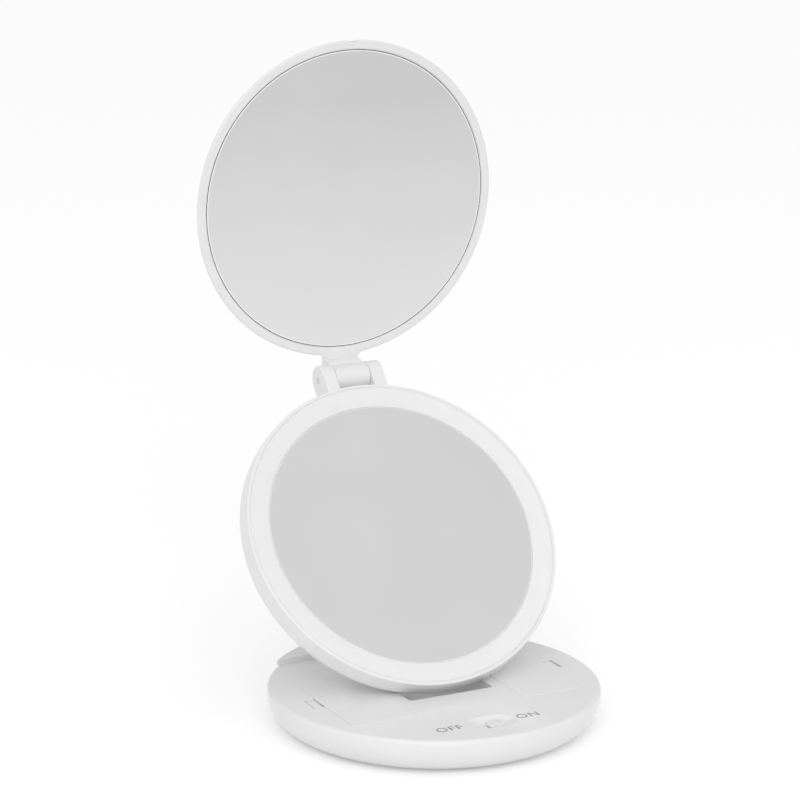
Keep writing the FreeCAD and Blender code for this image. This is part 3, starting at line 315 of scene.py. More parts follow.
# %% Finish recipes
# A Mix node has sockets for every kind of value. These are its factor and its colours.
MIX_FACTOR = 0
MIX_TONES = (6, 7)
MIX_RESULT = 2


def finish(name, texture, tones, roughness, bump, values=None, grain=None):
    """A material from one surface group: two tones, a range of roughness, and a bump of a given depth."""
    material = bpy.data.materials.new(name)
    material.use_nodes = True
    tree = material.node_tree
    shader = tree.nodes["Principled BSDF"]
    where = add_node(tree, "ShaderNodeTexCoord").outputs["Object"]
    effect = add_node(tree, "ShaderNodeGroup", {}, node_tree=texture)
    tree.links.new(where, effect.inputs["Vector"])
    for label, value in (grain or {}).items():
        effect.inputs[label].default_value = value
    marks = add_node(tree, "ShaderNodeGroup", {}, node_tree=MARKS)
    tree.links.new(where, marks.inputs["Vector"])
    colour = add_node(tree, "ShaderNodeMix", {MIX_FACTOR: effect.outputs[1]}, data_type="RGBA")
    for socket, tone in zip(MIX_TONES, tones):
        colour.inputs[socket].default_value = (*tone, 1)
    tree.links.new(colour.outputs[MIX_RESULT], shader.inputs["Base Color"])
    tree.links.new(rescale(tree, marks.outputs["Mask"], (0, 1), roughness), shader.inputs["Roughness"])
    relief = add_node(tree, "ShaderNodeBump", {
        "Height": effect.outputs["Height"], "Distance": bump, "Strength": 1.0,
    })
    tree.links.new(relief.outputs[0], shader.inputs["Normal"])
    for label, value in (values or {}).items():
        shader.inputs[label].default_value = value
    return material


def greys(dark, light):
    return ((dark, dark, dark), (light, light, light))


# %% Finishes
MICRON = 0.001 * MM
PLASTIC = {"IOR": 1.5}
CLEAR_GLASS = {"IOR": 1.52}
METAL = {"Metallic": 1.0}
ACRYLIC = {"IOR": 1.49, "Subsurface Weight": 0.25, "Subsurface Scale": 0.002, "Subsurface Radius": (1, 1, 1)}
COARSE = {"Grain": 3500.0}

WHITE_SHELL = finish("white_gloss", SKIN, greys(0.855, 0.875), (0.16, 0.22), 10 * MICRON, PLASTIC)
WHITE_SATIN = finish("white_satin", SKIN, greys(0.80, 0.83), (0.42, 0.5), 20 * MICRON, PLASTIC, COARSE)
KNOB_WHITE = finish("knob_plastic", SKIN, greys(0.85, 0.88), (0.28, 0.36), 20 * MICRON, PLASTIC)
MILKY = finish("diffuser", SKIN, greys(0.88, 0.9), (0.3, 0.36), 10 * MICRON, ACRYLIC)
SILVERING = finish("mirror_glass", SKIN, greys(0.75, 0.77), (0.0, 0.012), 0, METAL, {"Wave": 30.0})
GLASS_EDGE = finish("ground_glass_edge", SKIN, greys(0.78, 0.86), (0.12, 0.2), 10 * MICRON, CLEAR_GLASS)
# Pale bevel: partly the ground glass, partly painted reflection of the bright surroundings.
BEVEL_REFLECTION_PAINT = finish("ground_bevel_painted_reflection", SKIN, greys(0.92, 0.95), (0.08, 0.14), 0, CLEAR_GLASS)
# Painted shadow: a near-black line at the mirror's rim, for the shaded gap between the glass and its frame.
RIM_SHADOW_PAINT = finish("mirror_rim_painted_shadow", SKIN, greys(0.04, 0.06), (0.1, 0.2), 0, METAL)
MIRROR_PAINT = finish("mirror_back_paint", SKIN, greys(0.3, 0.36), (0.5, 0.6), 20 * MICRON)
STEEL_PIN = finish("steel_pin", LINES, greys(0.55, 0.65), (0.22, 0.34), 4 * MICRON, METAL)
STEEL_SCREW = finish("steel_screw", LINES, greys(0.5, 0.6), (0.25, 0.38), 4 * MICRON, METAL)
STEEL_PLATE = finish("steel_bracket", LINES, greys(0.58, 0.66), (0.28, 0.4), 5 * MICRON, METAL)
tones = ((0.62, 0.61, 0.57), (0.7, 0.69, 0.66))
NICKEL = finish("contact_metal", LINES, tones, (0.2, 0.3), 4 * MICRON, METAL)
tones = ((0.13, 0.14, 0.15), (0.18, 0.19, 0.2))
JACKET = finish("cell_jacket", SKIN, tones, (0.2, 0.32), 10 * MICRON, {"Metallic": 0.6})
tones = ((0.72, 0.74, 0.71), (0.78, 0.8, 0.77))
BOARD = finish("board", CELLS, tones, (0.35, 0.5), 10 * MICRON, grain={"Cells": 600.0})
tones = ((0.85, 0.76, 0.36), (0.9, 0.83, 0.5))
PHOSPHOR = finish("led", CELLS, tones, (0.15, 0.25), 5 * MICRON, PLASTIC)
SWITCH_BODY = finish("switch_body", SKIN, greys(0.78, 0.84), (0.4, 0.5), 20 * MICRON)
tones = ((0.72, 0.71, 0.66), (0.78, 0.77, 0.73))
NYLON = finish("bush_plastic", SKIN, tones, (0.4, 0.5), 10 * MICRON)
RUBBER = finish("pad_rubber", CELLS, greys(0.3, 0.38), (0.75, 0.9), 40 * MICRON, {"Specular IOR Level": 0.3})
FOAM = finish("foam_tape", CELLS, greys(0.24, 0.34), (0.85, 0.95), 80 * MICRON, grain={"Cells": 2500.0})
INK = finish("lettering_grey", SKIN, greys(0.25, 0.3), (0.4, 0.5), 10 * MICRON)
print("finishes", len(bpy.data.materials))

# %% [markdown]
# ## Modelling helpers
# Operators act on what is selected, so every helper first clears the selection and then picks one piece.

# %% Selection
def mode(name):
    bpy.ops.object.mode_set(mode=name)


def clear_selection():
    if bpy.context.mode != "OBJECT":
        mode("OBJECT")
    bpy.ops.object.select_all(action="DESELECT")


def pick(piece):
    clear_selection()
    piece.select_set(True)
    bpy.context.view_layer.objects.active = piece
    return piece


def open_piece(piece, kind):
    """Opens a piece in edit mode, to select points, edges or faces, with none of them selected yet."""
    pick(piece)
    mode("EDIT")
    bpy.ops.mesh.select_mode(type=kind)
    bpy.ops.mesh.select_all(action="DESELECT")


def pick_points(piece, where):
    """Opens a piece in edit mode with only the points that pass a test of place selected."""
    open_piece(piece, "VERT")
    mode("OBJECT")
    for vertex in piece.data.vertices:
        vertex.select = where(vertex.co)
    mode("EDIT")


def named(name):
    """The piece that was just added, under its name."""
    piece = bpy.context.object
    piece.name = name
    return piece


def settle(piece):
    """Puts a piece's place and turn into its mesh."""
    pick(piece)
    bpy.ops.object.transform_apply(location=True, rotation=True, scale=True)
    return piece


def stand_up(piece, pose):
    piece.matrix_world = pose @ piece.matrix_world
    return settle(piece)


# %% [markdown]
# The round pieces are all drawn the same way, like pulling a profile up ring by ring: a circle is extruded,
# scaled and moved until it closes. The others start from boxes, round bars and side views.

# %% Solids
ROUND_STEPS = 192
FINE_STEPS = 96
BAR_STEPS = 64
SMALL_STEPS = 48
NEAR = 1e-6


def arc(centre_r, centre_z, radius, start, end, steps):
    """Points of a rounded edge, as rings: angles in degrees from the outward direction."""
    rings = []
    for i in range(steps + 1):
        turn = math.radians(start + (end - start) * i / steps)
        rings.append((centre_r + radius * math.cos(turn), centre_z + radius * math.sin(turn)))
    return rings


def lathe(name, rings, hollow=False, steps=ROUND_STEPS):
    """A round piece drawn as rings of (radius, height): a closed loop if hollow, else capped at both ends."""
    clear_selection()
    radius, height = rings[0]
    cap = "NOTHING" if hollow else "NGON"
    bpy.ops.mesh.primitive_circle_add(vertices=steps, radius=radius, fill_type=cap)
    piece = named(name)
    mode("EDIT")
    bpy.ops.mesh.select_all(action="SELECT")
    bpy.ops.transform.translate(value=(0, 0, height))
    for next_radius, next_height in rings[1:] + (rings[:1] if hollow else []):
        bpy.ops.mesh.extrude_region_move(TRANSFORM_OT_translate={"value": (0, 0, next_height - height)})
        ratio = next_radius / radius
        bpy.ops.transform.resize(value=(ratio, ratio, 1), center_override=(0, 0, next_height))
        radius, height = next_radius, next_height
    return close_up(piece)


def close_up(piece):
    """Merges doubled points and turns every face outwards."""
    pick(piece)
    mode("EDIT")
    bpy.ops.mesh.select_all(action="SELECT")
    bpy.ops.mesh.remove_doubles(threshold=NEAR)
    bpy.ops.mesh.normals_make_consistent(inside=False)
    mode("OBJECT")
    return piece


def block(name, low, high):
    """A box between two corners."""
    clear_selection()
    low, high = Vector(low), Vector(high)
    bpy.ops.mesh.primitive_cube_add(size=1, location=(low + high) / 2, scale=high - low)
    return settle(named(name))


def outline(name, points, start, end):
    """A side view in Y and Z, drawn point by point, filled, and pulled along X from start to end."""
    clear_selection()
    bpy.ops.mesh.primitive_plane_add(size=MM, location=(start, *points[0]))
    piece = named(name)
    mode("EDIT")
    bpy.ops.mesh.select_mode(type="VERT")
    bpy.ops.mesh.select_all(action="SELECT")
    bpy.ops.mesh.merge(type="CENTER")
    for (y, z), (next_y, next_z) in zip(points, points[1:]):
        bpy.ops.mesh.extrude_vertices_move(TRANSFORM_OT_translate={"value": (0, next_y - y, next_z - z)})
    bpy.ops.mesh.select_all(action="SELECT")
    bpy.ops.mesh.edge_face_add()
    bpy.ops.mesh.extrude_region_move(TRANSFORM_OT_translate={"value": (end - start, 0, 0)})
    return settle(close_up(piece))


def rod(name, radius, start, end, steps=BAR_STEPS):
    """A round bar along X, from start to end."""
    clear_selection()
    start, end = Vector(start), Vector(end)
    bpy.ops.mesh.primitive_cylinder_add(
        vertices=steps, radius=radius, depth=end.x - start.x, location=(start + end) / 2,
        rotation=(0, math.pi / 2, 0),
    )
    return settle(named(name))


def post(name, radius, foot, height, steps=SMALL_STEPS):
    """A round bar along Z, standing on a point."""
    clear_selection()
    middle = Vector(foot) + Vector((0, 0, height / 2))
    bpy.ops.mesh.primitive_cylinder_add(vertices=steps, radius=radius, depth=height, location=middle)
    return settle(named(name))


# %% [markdown]
# Two solids are joined or cut with a Boolean modifier that is applied at once. Real mouldings have no knife
# edges, so after that the sharp edges are picked by angle and by place, and bevelled.

# %% Cutting and softening
SHARP = math.radians(30)


def combine(piece, tool, operation):
    """Changes a piece by a Boolean with a tool, which is used up."""
    pick(piece)
    bpy.ops.object.modifier_add(type="BOOLEAN")
    step = piece.modifiers[-1]
    step.operation = operation
    step.solver = "EXACT"
    step.object = tool
    bpy.ops.object.modifier_apply(modifier=step.name)
    bpy.data.objects.remove(tool, do_unlink=True)
    return piece


def cut(piece, tool):
    return combine(piece, tool, "DIFFERENCE")


def join(piece, tool):
    return combine(piece, tool, "UNION")


def soften(piece, width, where=None, steps=3):
    """Bevels the sharp edges of a piece whose two ends pass a test of place."""
    open_piece(piece, "EDGE")
    bpy.ops.mesh.edges_select_sharp(sharpness=SHARP)
    mode("OBJECT")
    points = piece.data.vertices
    if where:
        for edge in piece.data.edges:
            if edge.select:
                edge.select = all(where(points[i].co) for i in edge.vertices)
    mode("EDIT")
    bpy.ops.mesh.bevel(offset=width, segments=steps, affect="EDGES", clamp_overlap=False)
    mode("OBJECT")
    return piece


def round_corners(piece, radius, steps=6):
    """Bevels the upright edges of a block."""
    open_piece(piece, "EDGE")
    mode("OBJECT")
    points = piece.data.vertices
    for edge in piece.data.edges:
        run = points[edge.vertices[0]].co - points[edge.vertices[1]].co
        edge.select = abs(run.z) > max(abs(run.x), abs(run.y))
    mode("EDIT")
    bpy.ops.mesh.bevel(offset=radius, segments=steps, affect="EDGES")
    mode("OBJECT")
    return piece


def tile(name, low, high, corner):
    return round_corners(block(name, low, high), corner)


# %% [markdown]
# A finished piece is shaded smooth up to its sharp edges. Then it gets its finish and the body that it
# moves with, and the CAD node that it stands for is hidden.

# %% Copies and finished pieces
def copy_of(piece, name):
    twin = piece.copy()
    twin.data = piece.data.copy()
    twin.name = name
    bpy.context.scene.collection.objects.link(twin)
    return twin


def mirrored_copy(piece, name):
    twin = copy_of(piece, name)
    twin.scale.x = -1
    settle(twin)
    return close_up(twin)


def done(piece, body, node, material=None):
    """Finishes a piece. One that has its finishes already is given no material, and letters have no node."""
    pick(piece)
    bpy.ops.object.shade_smooth_by_angle(angle=SHARP)
    bpy.ops.object.modifier_add(type="WEIGHTED_NORMAL")
    piece.modifiers[-1].keep_sharp = True
    bpy.ops.object.modifier_apply(modifier=piece.modifiers[-1].name)
    if material:
        piece.data.materials.append(material)
    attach(piece, body)
    if node:
        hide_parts(node)
    print(piece.name, "faces", len(piece.data.polygons))
    return piece


# %% [markdown]
# ## Base housing
# The base is one bowl-sided moulding with a flat deck. It could be drawn as a solid and hollowed, but pulling
# the profile round from the deck's underside to its top gives the wall its even thickness in one go. The tray
# for the arm and the battery bays are then joined in, and the openings are cut from above.

# %% Base housing: the turned shell
BASE_WALL = 1.8 * MM
DECK_THICK = 2.0 * MM
DECK_EDGE = 1.7 * MM
SIDE_BAND = 0.8 * MM
PLATE_LIP = 1.05 * MM
DECK_LOW = DECK_TOP - DECK_THICK
BOWL = DECK_TOP - DECK_EDGE - SIDE_BAND - BASE_LOW
BOWL_R = BASE_RADIUS - BOWL
BOWL_Z = BASE_LOW + BOWL

rings = [(BASE_RADIUS - BASE_WALL, DECK_LOW)]
rings += arc(BOWL_R, BOWL_Z, BOWL - BASE_WALL, 0, -90, 12)
rings += [(BOWL_R - PLATE_LIP, BASE_LOW + BASE_WALL), (BOWL_R - PLATE_LIP, BASE_LOW)]
rings += arc(BOWL_R, BOWL_Z, BOWL, -90, 0, 28)
rings += arc(BASE_RADIUS - DECK_EDGE, DECK_TOP - DECK_EDGE, DECK_EDGE, 0, 90, 8)
housing = lathe("base_shell", rings)
print("housing rings", len(rings))

# %% Base housing: tray, bearings and battery bays
SLOT_HALF = 18.0 * MM
SLOT_AHEAD = 6.6 * MM
BRACKET_HALF = Vector((15.5, 10.0)) * MM
SLOT_FRONT = ARM_AXIS.y - ARM_LENGTH - BRACKET_HALF.y - SLOT_AHEAD
SLOT_REAR = 55.2 * MM
SLOT_FLOOR = 5.2 * MM
TRAY_WALL = 1.3 * MM
DISH_X = -0.5 * MM
DISH_Y = -48.0 * MM
DISH_DEPTH = 2.0 * MM
DISH_PAD = 1.2 * MM
DISH_PAD_HALF = Vector((7.0, 4.0)) * MM
HINGE_BLOCK = 7.0 * MM
HINGE_BLOCK_HALF = 5.5 * MM
COVER_INNER = 23.0 * MM
COVER_OUTER = 49.9 * MM
COVER_FRONT = -30.75 * MM
COVER_REAR = 27.95 * MM
COVER_SEAT = DECK_TOP - 1.95 * MM
BAY_LEDGE = 2.5 * MM
BAY_END = 3.5 * MM
BAY_WALL = 1.0 * MM
BAY_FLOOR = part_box("base_bottom_plate")[1].z


def span(side, inner, outer):
    """The range along X of something on one side of the middle, the smaller value first."""
    return sorted((side * inner, side * outer))


inside = DECK_LOW + DECK_THICK / 2
half = SLOT_HALF + TRAY_WALL
tray_low = SLOT_FLOOR - TRAY_WALL
join(housing, block("tray", (-half, SLOT_FRONT - TRAY_WALL, tray_low), (half, SLOT_REAR + TRAY_WALL, inside)))
low = (DISH_X - DISH_PAD_HALF.x, DISH_Y - DISH_PAD_HALF.y, DECK_TOP - DISH_DEPTH - DISH_PAD)
join(housing, block("dish_pad", low, (DISH_X + DISH_PAD_HALF.x, DISH_Y + DISH_PAD_HALF.y, inside)))
bay_front, bay_rear = COVER_FRONT + BAY_END, COVER_REAR - BAY_END
for side in (-1, 1):
    left, right = span(side, SLOT_HALF, SLOT_HALF + HINGE_BLOCK)
    low = (left, ARM_AXIS.y - HINGE_BLOCK_HALF, tray_low)
    join(housing, block("bearing", low, (right, ARM_AXIS.y + HINGE_BLOCK_HALF, inside)))
    left, right = span(side, COVER_INNER - BAY_WALL, COVER_OUTER + BAY_WALL)
    low = (left, COVER_FRONT - BAY_WALL, COVER_SEAT - BAY_WALL)
    join(housing, block("seat", low, (right, COVER_REAR + BAY_WALL, inside)))
    left, right = span(side, COVER_INNER + BAY_LEDGE - BAY_WALL, COVER_OUTER - BAY_LEDGE + BAY_WALL)
    low = (left, bay_front - BAY_WALL, BAY_FLOOR)
    join(housing, block("bay_wall", low, (right, bay_rear + BAY_WALL, inside)))
print("housing joined", len(housing.data.polygons))

# %% Base housing: slot, bays and notches
OVER = 2.0 * MM
SLOT_CORNER = 1.4 * MM
COVER_CORNER = 1.6 * MM
NOTCH_OUTER = 54.4 * MM
NOTCH_HALF = 4.85 * MM
NOTCH_Y = (COVER_FRONT + COVER_REAR) / 2
NOTCH_LOW = DECK_TOP - 5.35 * MM

above = DECK_TOP + OVER
cut(housing, tile("slot", (-SLOT_HALF, SLOT_FRONT, SLOT_FLOOR), (SLOT_HALF, SLOT_REAR, above), SLOT_CORNER))
for side in (-1, 1):
    left, right = span(side, COVER_INNER, COVER_OUTER)
    low = (left, COVER_FRONT, COVER_SEAT)
    cut(housing, tile("recess", low, (right, COVER_REAR, above), COVER_CORNER))
    left, right = span(side, COVER_INNER + BAY_LEDGE, COVER_OUTER - BAY_LEDGE)
    cut(housing, block("bay", (left, bay_front, BAY_FLOOR), (right, bay_rear, DECK_TOP)))
    left, right = span(side, COVER_OUTER - BAY_LEDGE + BAY_WALL, NOTCH_OUTER)
    low = (left, NOTCH_Y - NOTCH_HALF, NOTCH_LOW)
    cut(housing, block("notch", low, (right, NOTCH_Y + NOTCH_HALF, above)))
print("housing cut", len(housing.data.polygons))

# %% Base housing: switch dish and soft edges
DISH_RADIUS = 10.0 * MM
DISH_STRETCH = 3.0 * MM
DISH_FLARE = 1.5 * MM
DISH_OVER = 0.01 * MM
DISH_POLE = -89
WINDOW_HALF = Vector((2.0, 1.0)) * MM
EDGE_SOFT = 0.25 * MM
COVER_EDGE = 0.05 * MM


def dish_tool(x, stretch, lift=0):
    """A bowl with a flared rim, pulled apart along X to a long dish. It starts just off its pole."""
    deck = DECK_TOP + DISH_OVER + lift
    middle = deck - DISH_DEPTH + DISH_RADIUS
    flare_r = math.sqrt(2 * (DISH_RADIUS + DISH_FLARE) * DISH_DEPTH - DISH_DEPTH**2)
    turn = math.degrees(math.acos(flare_r / (DISH_RADIUS + DISH_FLARE)))
    rings = arc(0, middle, DISH_RADIUS, DISH_POLE, -turn, 24)
    rings += arc(flare_r, deck - DISH_FLARE, DISH_FLARE, 180 - turn, 90, 10)[1:]
    bowl = lathe("dish", rings + [(flare_r, deck + OVER)], steps=FINE_STEPS)
    for way in (-1, 1):
        pick_points(bowl, lambda p: p.x * way > NEAR)
        bpy.ops.transform.translate(value=(way * stretch, 0, 0))
        mode("OBJECT")
    bowl.location = (x, DISH_Y, 0)
    return settle(bowl)


cut(housing, dish_tool(DISH_X, DISH_STRETCH))
soften(housing, EDGE_SOFT, lambda p: abs(p.z - DECK_TOP) < NEAR and abs(p.x) < SLOT_HALF + NEAR)
soften(housing, COVER_EDGE, lambda p: abs(p.z - DECK_TOP) < NEAR and abs(p.x) > COVER_INNER - NEAR)
# The window for the knob is cut last, because its edges stay sharp.
low = (DISH_X - WINDOW_HALF.x, DISH_Y - WINDOW_HALF.y, DECK_LOW - OVER)
cut(housing, block("window", low, (DISH_X + WINDOW_HALF.x, DISH_Y + WINDOW_HALF.y, DECK_TOP)))
done(housing, "base", "base_housing", WHITE_SHELL)

# %% [markdown]
# ## Rear hinge cover
# A raised step behind the slot roofs the arm's hinge. It is a slice of a disc, so a disc is drawn with its
# rounded rim, everything in front of the step is cut away, and a gap is left for the arm.

# %% Rear hinge cover
STEP_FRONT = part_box("rear_hinge_cover")[0].y
STEP_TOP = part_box("rear_hinge_cover")[1].z
STEP_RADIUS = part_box("rear_hinge_cover")[1].y
STEP_ROUND = 1.0 * MM
STEP_SOFT = 0.4 * MM

rings = [(STEP_RADIUS, DECK_TOP)] + arc(STEP_RADIUS - STEP_ROUND, STEP_TOP - STEP_ROUND, STEP_ROUND, 0, 90, 6)
step_piece = lathe("rear_step", rings)
under, over = DECK_TOP - OVER, STEP_TOP + OVER
wide = 2 * BASE_RADIUS
front_cut = [(-wide, under), (STEP_FRONT, under)]
front_cut += arc(STEP_FRONT + STEP_SOFT, STEP_TOP - STEP_SOFT, STEP_SOFT, 180, 90, 5)
front_cut += [(STEP_FRONT + STEP_SOFT, over), (-wide, over)]
cut(step_piece, outline("front", front_cut, -wide, wide))
cut(step_piece, block("gap", (-SLOT_HALF, STEP_FRONT - OVER, under), (SLOT_HALF, SLOT_REAR, over)))
done(step_piece, "base", "rear_hinge_cover", WHITE_SHELL)

# %% [markdown]
# ## Battery covers
# Each cover is a thin plate that stands just proud of the deck. Two tabs at its inner edge are its hinge, and
# a strip bent into a U at its outer edge is its clip. The right one is modelled, and the left one is its
# mirror image.

# %% Battery covers
COVER_GAP = 0.35 * MM
COVER_SEAM = 0.05 * MM
COVER_SOFT = 0.18 * MM
COVER_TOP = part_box("battery_cover_right")[1].z
COVER_LOW = DECK_TOP - 1.6 * MM
TAB_HALF = 2.5 * MM
TAB_THICK = 1.0 * MM
TAB_SOFT = 0.45 * MM
TAB_ROOT = 1.0 * MM
TAB_SPREAD = 17.0 * MM
LATCH_HALF = 4.5 * MM
LATCH_LEG = 0.8 * MM
LATCH_SLIT = 0.9 * MM
LATCH_LOW = DECK_TOP - 5.0 * MM
LATCH_TOP = DECK_TOP - 0.2 * MM
LATCH_TIP = NOTCH_OUTER - 0.7 * MM

inner, outer = COVER_INNER + COVER_GAP, COVER_OUTER - COVER_GAP
low = (COVER_INNER + COVER_SEAM, COVER_FRONT + COVER_SEAM, COVER_LOW)
high = (COVER_OUTER - COVER_SEAM, COVER_REAR - COVER_SEAM, COVER_TOP)
cover = tile("battery_lid_right", low, high, COVER_CORNER - COVER_SEAM)
tab_axis = pivot("cover_right_open")
for y in (NOTCH_Y - TAB_SPREAD, NOTCH_Y + TAB_SPREAD):
    low = (tab_axis.x - TAB_THICK / 2, y - TAB_HALF, tab_axis.z - TAB_THICK / 2)
    tab = block("tab", low, (inner + TAB_ROOT, y + TAB_HALF, tab_axis.z + TAB_THICK / 2))
    soften(tab, TAB_SOFT, lambda p: p.x < tab_axis.x)
    join(cover, tab)
front, rear = NOTCH_Y - LATCH_HALF, NOTCH_Y + LATCH_HALF
latch = block("latch", (outer - LATCH_LEG, front, LATCH_LOW), (LATCH_TIP, rear, LATCH_TOP))
soften(latch, LATCH_LEG, lambda p: p.z < LATCH_LOW + NEAR)
bend_low, bend_high = LATCH_LOW + LATCH_LEG, LATCH_TOP - LATCH_LEG
cut(latch, block("bend", (outer, front - OVER, bend_low), (LATCH_TIP - LATCH_LEG, rear + OVER, bend_high)))
cut(latch, block("slit", (outer, front - OVER, bend_low), (outer + LATCH_SLIT, rear + OVER, DECK_TOP)))
low = (outer - OVER, front - OVER, COVER_LOW + LATCH_LEG)
cut(latch, block("trim", low, (outer + NEAR, rear + OVER, DECK_TOP)))
join(cover, latch)
soften(cover, COVER_SOFT, lambda p: p.z > LATCH_TOP - NEAR)
left_cover = mirrored_copy(cover, "battery_lid_left")
done(cover, "cover_right", "battery_cover_right", WHITE_SHELL)
done(left_cover, "cover_left", "battery_cover_left", WHITE_SHELL)

# %% [markdown]
# ## Switch knob and lettering
# The knob is a small block with grip ribs that slides in the dish. Its underside follows the dish, so it is
# kept only where it lies inside a shorter copy of the bowl. The words beside it are printed flat on the deck,
# so they are text turned into a thin mesh.

# %% Switch knob
RIB_COUNT = 4
RIB_CUT = 0.5 * MM
RIB_DEPTH = 0.4 * MM
KNOB_CROWN = 2 * RIB_DEPTH
KNOB_CORNER = 0.5 * MM
KNOB_SOFT = 0.16 * MM
KNOB_TRAVEL = 2.6 * MM
KNOB_CLEAR = 0.06 * MM
STEM_HALF = Vector((0.6, 0.9)) * MM

knob_low, knob_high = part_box("switch_knob")
middle = (knob_low + knob_high) / 2
dish_low = DECK_TOP - DISH_DEPTH
knob = tile("knob", (knob_low.x, knob_low.y, dish_low), knob_high, KNOB_CORNER)
combine(knob, dish_tool(middle.x, DISH_STRETCH - KNOB_TRAVEL / 2, KNOB_CLEAR), "INTERSECT")
for i in range(RIB_COUNT):
    x = knob_low.x + (knob_high.x - knob_low.x) * (i + 1) / (RIB_COUNT + 1)
    low = (x - RIB_CUT / 2, knob_low.y - OVER, knob_high.z - RIB_DEPTH)
    cut(knob, block("groove", low, (x + RIB_CUT / 2, knob_high.y + OVER, knob_high.z + OVER)))
stem_low = (middle.x - STEM_HALF.x, middle.y - STEM_HALF.y, knob_low.z)
join(knob, block("stem", stem_low, (middle.x + STEM_HALF.x, middle.y + STEM_HALF.y, dish_low + RIB_DEPTH)))
soften(knob, KNOB_SOFT, lambda p: p.z > knob_high.z - KNOB_CROWN, steps=2)
done(knob, "knob", "switch_knob", KNOB_WHITE)

# %% Lettering
LETTER_SIZE = 5.8 * MM
LETTER_SPACE = 1.12
LETTER_THICK = 0.02 * MM
LETTER_Y = -50.2 * MM
WORDS = {"OFF": -18.9 * MM, "ON": 14.4 * MM}

for word, x in WORDS.items():
    clear_selection()
    bpy.ops.object.text_add(location=(x, LETTER_Y, DECK_TOP + LETTER_THICK))
    text = bpy.context.object
    text.name = "word_" + word.lower()
    text.data.body = word
    text.data.size = LETTER_SIZE
    text.data.space_character = LETTER_SPACE
    text.data.align_x = "CENTER"
    text.data.extrude = LETTER_THICK
    bpy.ops.object.convert(target="MESH")
    letters = close_up(settle(bpy.context.object))
    done(letters, "base", None, INK)

# %% [markdown]
# ## Support arm
# The arm is a flat lever that narrows to a tongue. It is pulled out of a block: the end face is extruded,
# scaled narrower, and extruded again. Its hinge barrel and tongue are joined on, and a recess takes the cover
# over its wire channel.

# %% Support arm
ARM_HALF = 15.0 * MM
ARM_HALF_THICK = 3.0 * MM
TONGUE_HALF = 8.2 * MM
TAPER_START = 24.0 * MM
TAPER_END = 13.0 * MM
ARM_ROUND = 1.2 * MM
BARREL_RADIUS = 4.6 * MM
BARREL_HALF = SLOT_HALF - 0.4 * MM
ARM_PIN = 2.05 * MM
TILT_PIN = 1.65 * MM
PLATE_HALF = 10.0 * MM
PLATE_FROM = 4.95 * MM
PLATE_TO = 20.0 * MM
PLATE_THICK = 1.2 * MM
SEAT_GAP = 0.15 * MM
FACING = 0.9

arm = block("arm", (-ARM_HALF, 0, -ARM_HALF_THICK), (ARM_HALF, ARM_LENGTH - TAPER_START, ARM_HALF_THICK))
open_piece(arm, "FACE")
mode("OBJECT")
for face in arm.data.polygons:
    face.select = face.normal.y > FACING
mode("EDIT")
bpy.ops.mesh.extrude_region_move(TRANSFORM_OT_translate={"value": (0, TAPER_START - TAPER_END, 0)})
bpy.ops.transform.resize(value=(TONGUE_HALF / ARM_HALF, 1, 1), center_override=(0, 0, 0))
bpy.ops.mesh.extrude_region_move(TRANSFORM_OT_translate={"value": (0, TAPER_END, 0)})
mode("OBJECT")


def along_the_arm(p):
    return abs(abs(p.z) - ARM_HALF_THICK) < NEAR


soften(arm, ARM_ROUND, along_the_arm, steps=4)
join(arm, rod("barrel", BARREL_RADIUS, (-BARREL_HALF, 0, 0), (BARREL_HALF, 0, 0), FINE_STEPS))
ends = [(-TONGUE_HALF, ARM_LENGTH, 0), (TONGUE_HALF, ARM_LENGTH, 0)]
join(arm, rod("tongue", ARM_HALF_THICK, *ends, FINE_STEPS))
plate_low = (-PLATE_HALF, PLATE_FROM, -ARM_HALF_THICK)
plate_high = (PLATE_HALF, ARM_LENGTH - PLATE_TO, PLATE_THICK - ARM_HALF_THICK)
cut(arm, block("recess", Vector(plate_low) - Vector((0, 0, OVER)), plate_high))
cut(arm, rod("pin_hole", ARM_PIN, (-SLOT_HALF, 0, 0), (SLOT_HALF, 0, 0)))
cut(arm, rod("tilt_hole", TILT_PIN, (-SLOT_HALF, ARM_LENGTH, 0), (SLOT_HALF, ARM_LENGTH, 0)))
soften(arm, EDGE_SOFT, lambda p: abs(p.x) > TONGUE_HALF - NEAR and abs(p.z) < ARM_HALF_THICK - ARM_ROUND / 2)
stand_up(arm, ARM_POSE)
done(arm, "arm", "support_arm", WHITE_SHELL)

gap = Vector((SEAT_GAP, SEAT_GAP, 0))
arm_plate = block("arm_back_plate", Vector(plate_low) + gap, Vector(plate_high) - gap)
soften(arm_plate, EDGE_SOFT, lambda p: p.z < PLATE_THICK / 2 - ARM_HALF_THICK)
stand_up(arm_plate, ARM_POSE)
done(arm_plate, "arm", "arm_rear_cover", WHITE_SHELL)

# %% [markdown]
# ## Head shell
# The head is a shallow dish with a full round at its back. A thin rim stands round the light ring, and two
# ears at the top hold the lid's pin. The dish is pulled in one profile like the base, from the inside floor,
# over the rim, to the back.

# %% Head shell
HEAD_BACK = 12.4 * MM
HEAD_ROUND = 7.2 * MM
HEAD_WALL = 1.7 * MM
HEAD_LIP = 1.6 * MM
HEAD_EDGE = 0.4 * MM
HEAD_LEAN = 0.4 * MM
LIP_SOFT = 0.05 * MM
RING_SKIRT = 1.4 * MM
RING_SEAT = 1.6 * MM
EAR_INNER = 7.65 * MM
EAR_OUTER = 13.45 * MM
EAR_RADIUS = 5.8 * MM
EAR_SOFT = 0.5 * MM
EAR_ROOT = 7.3 * MM
LID_PIN = 1.5 * MM
SCREW_CIRCLE = 49.0 * MM
SCREW_HEAD = 2.3 * MM
SCREW_SINK = 1.1 * MM
SCREW_COUNT = 4

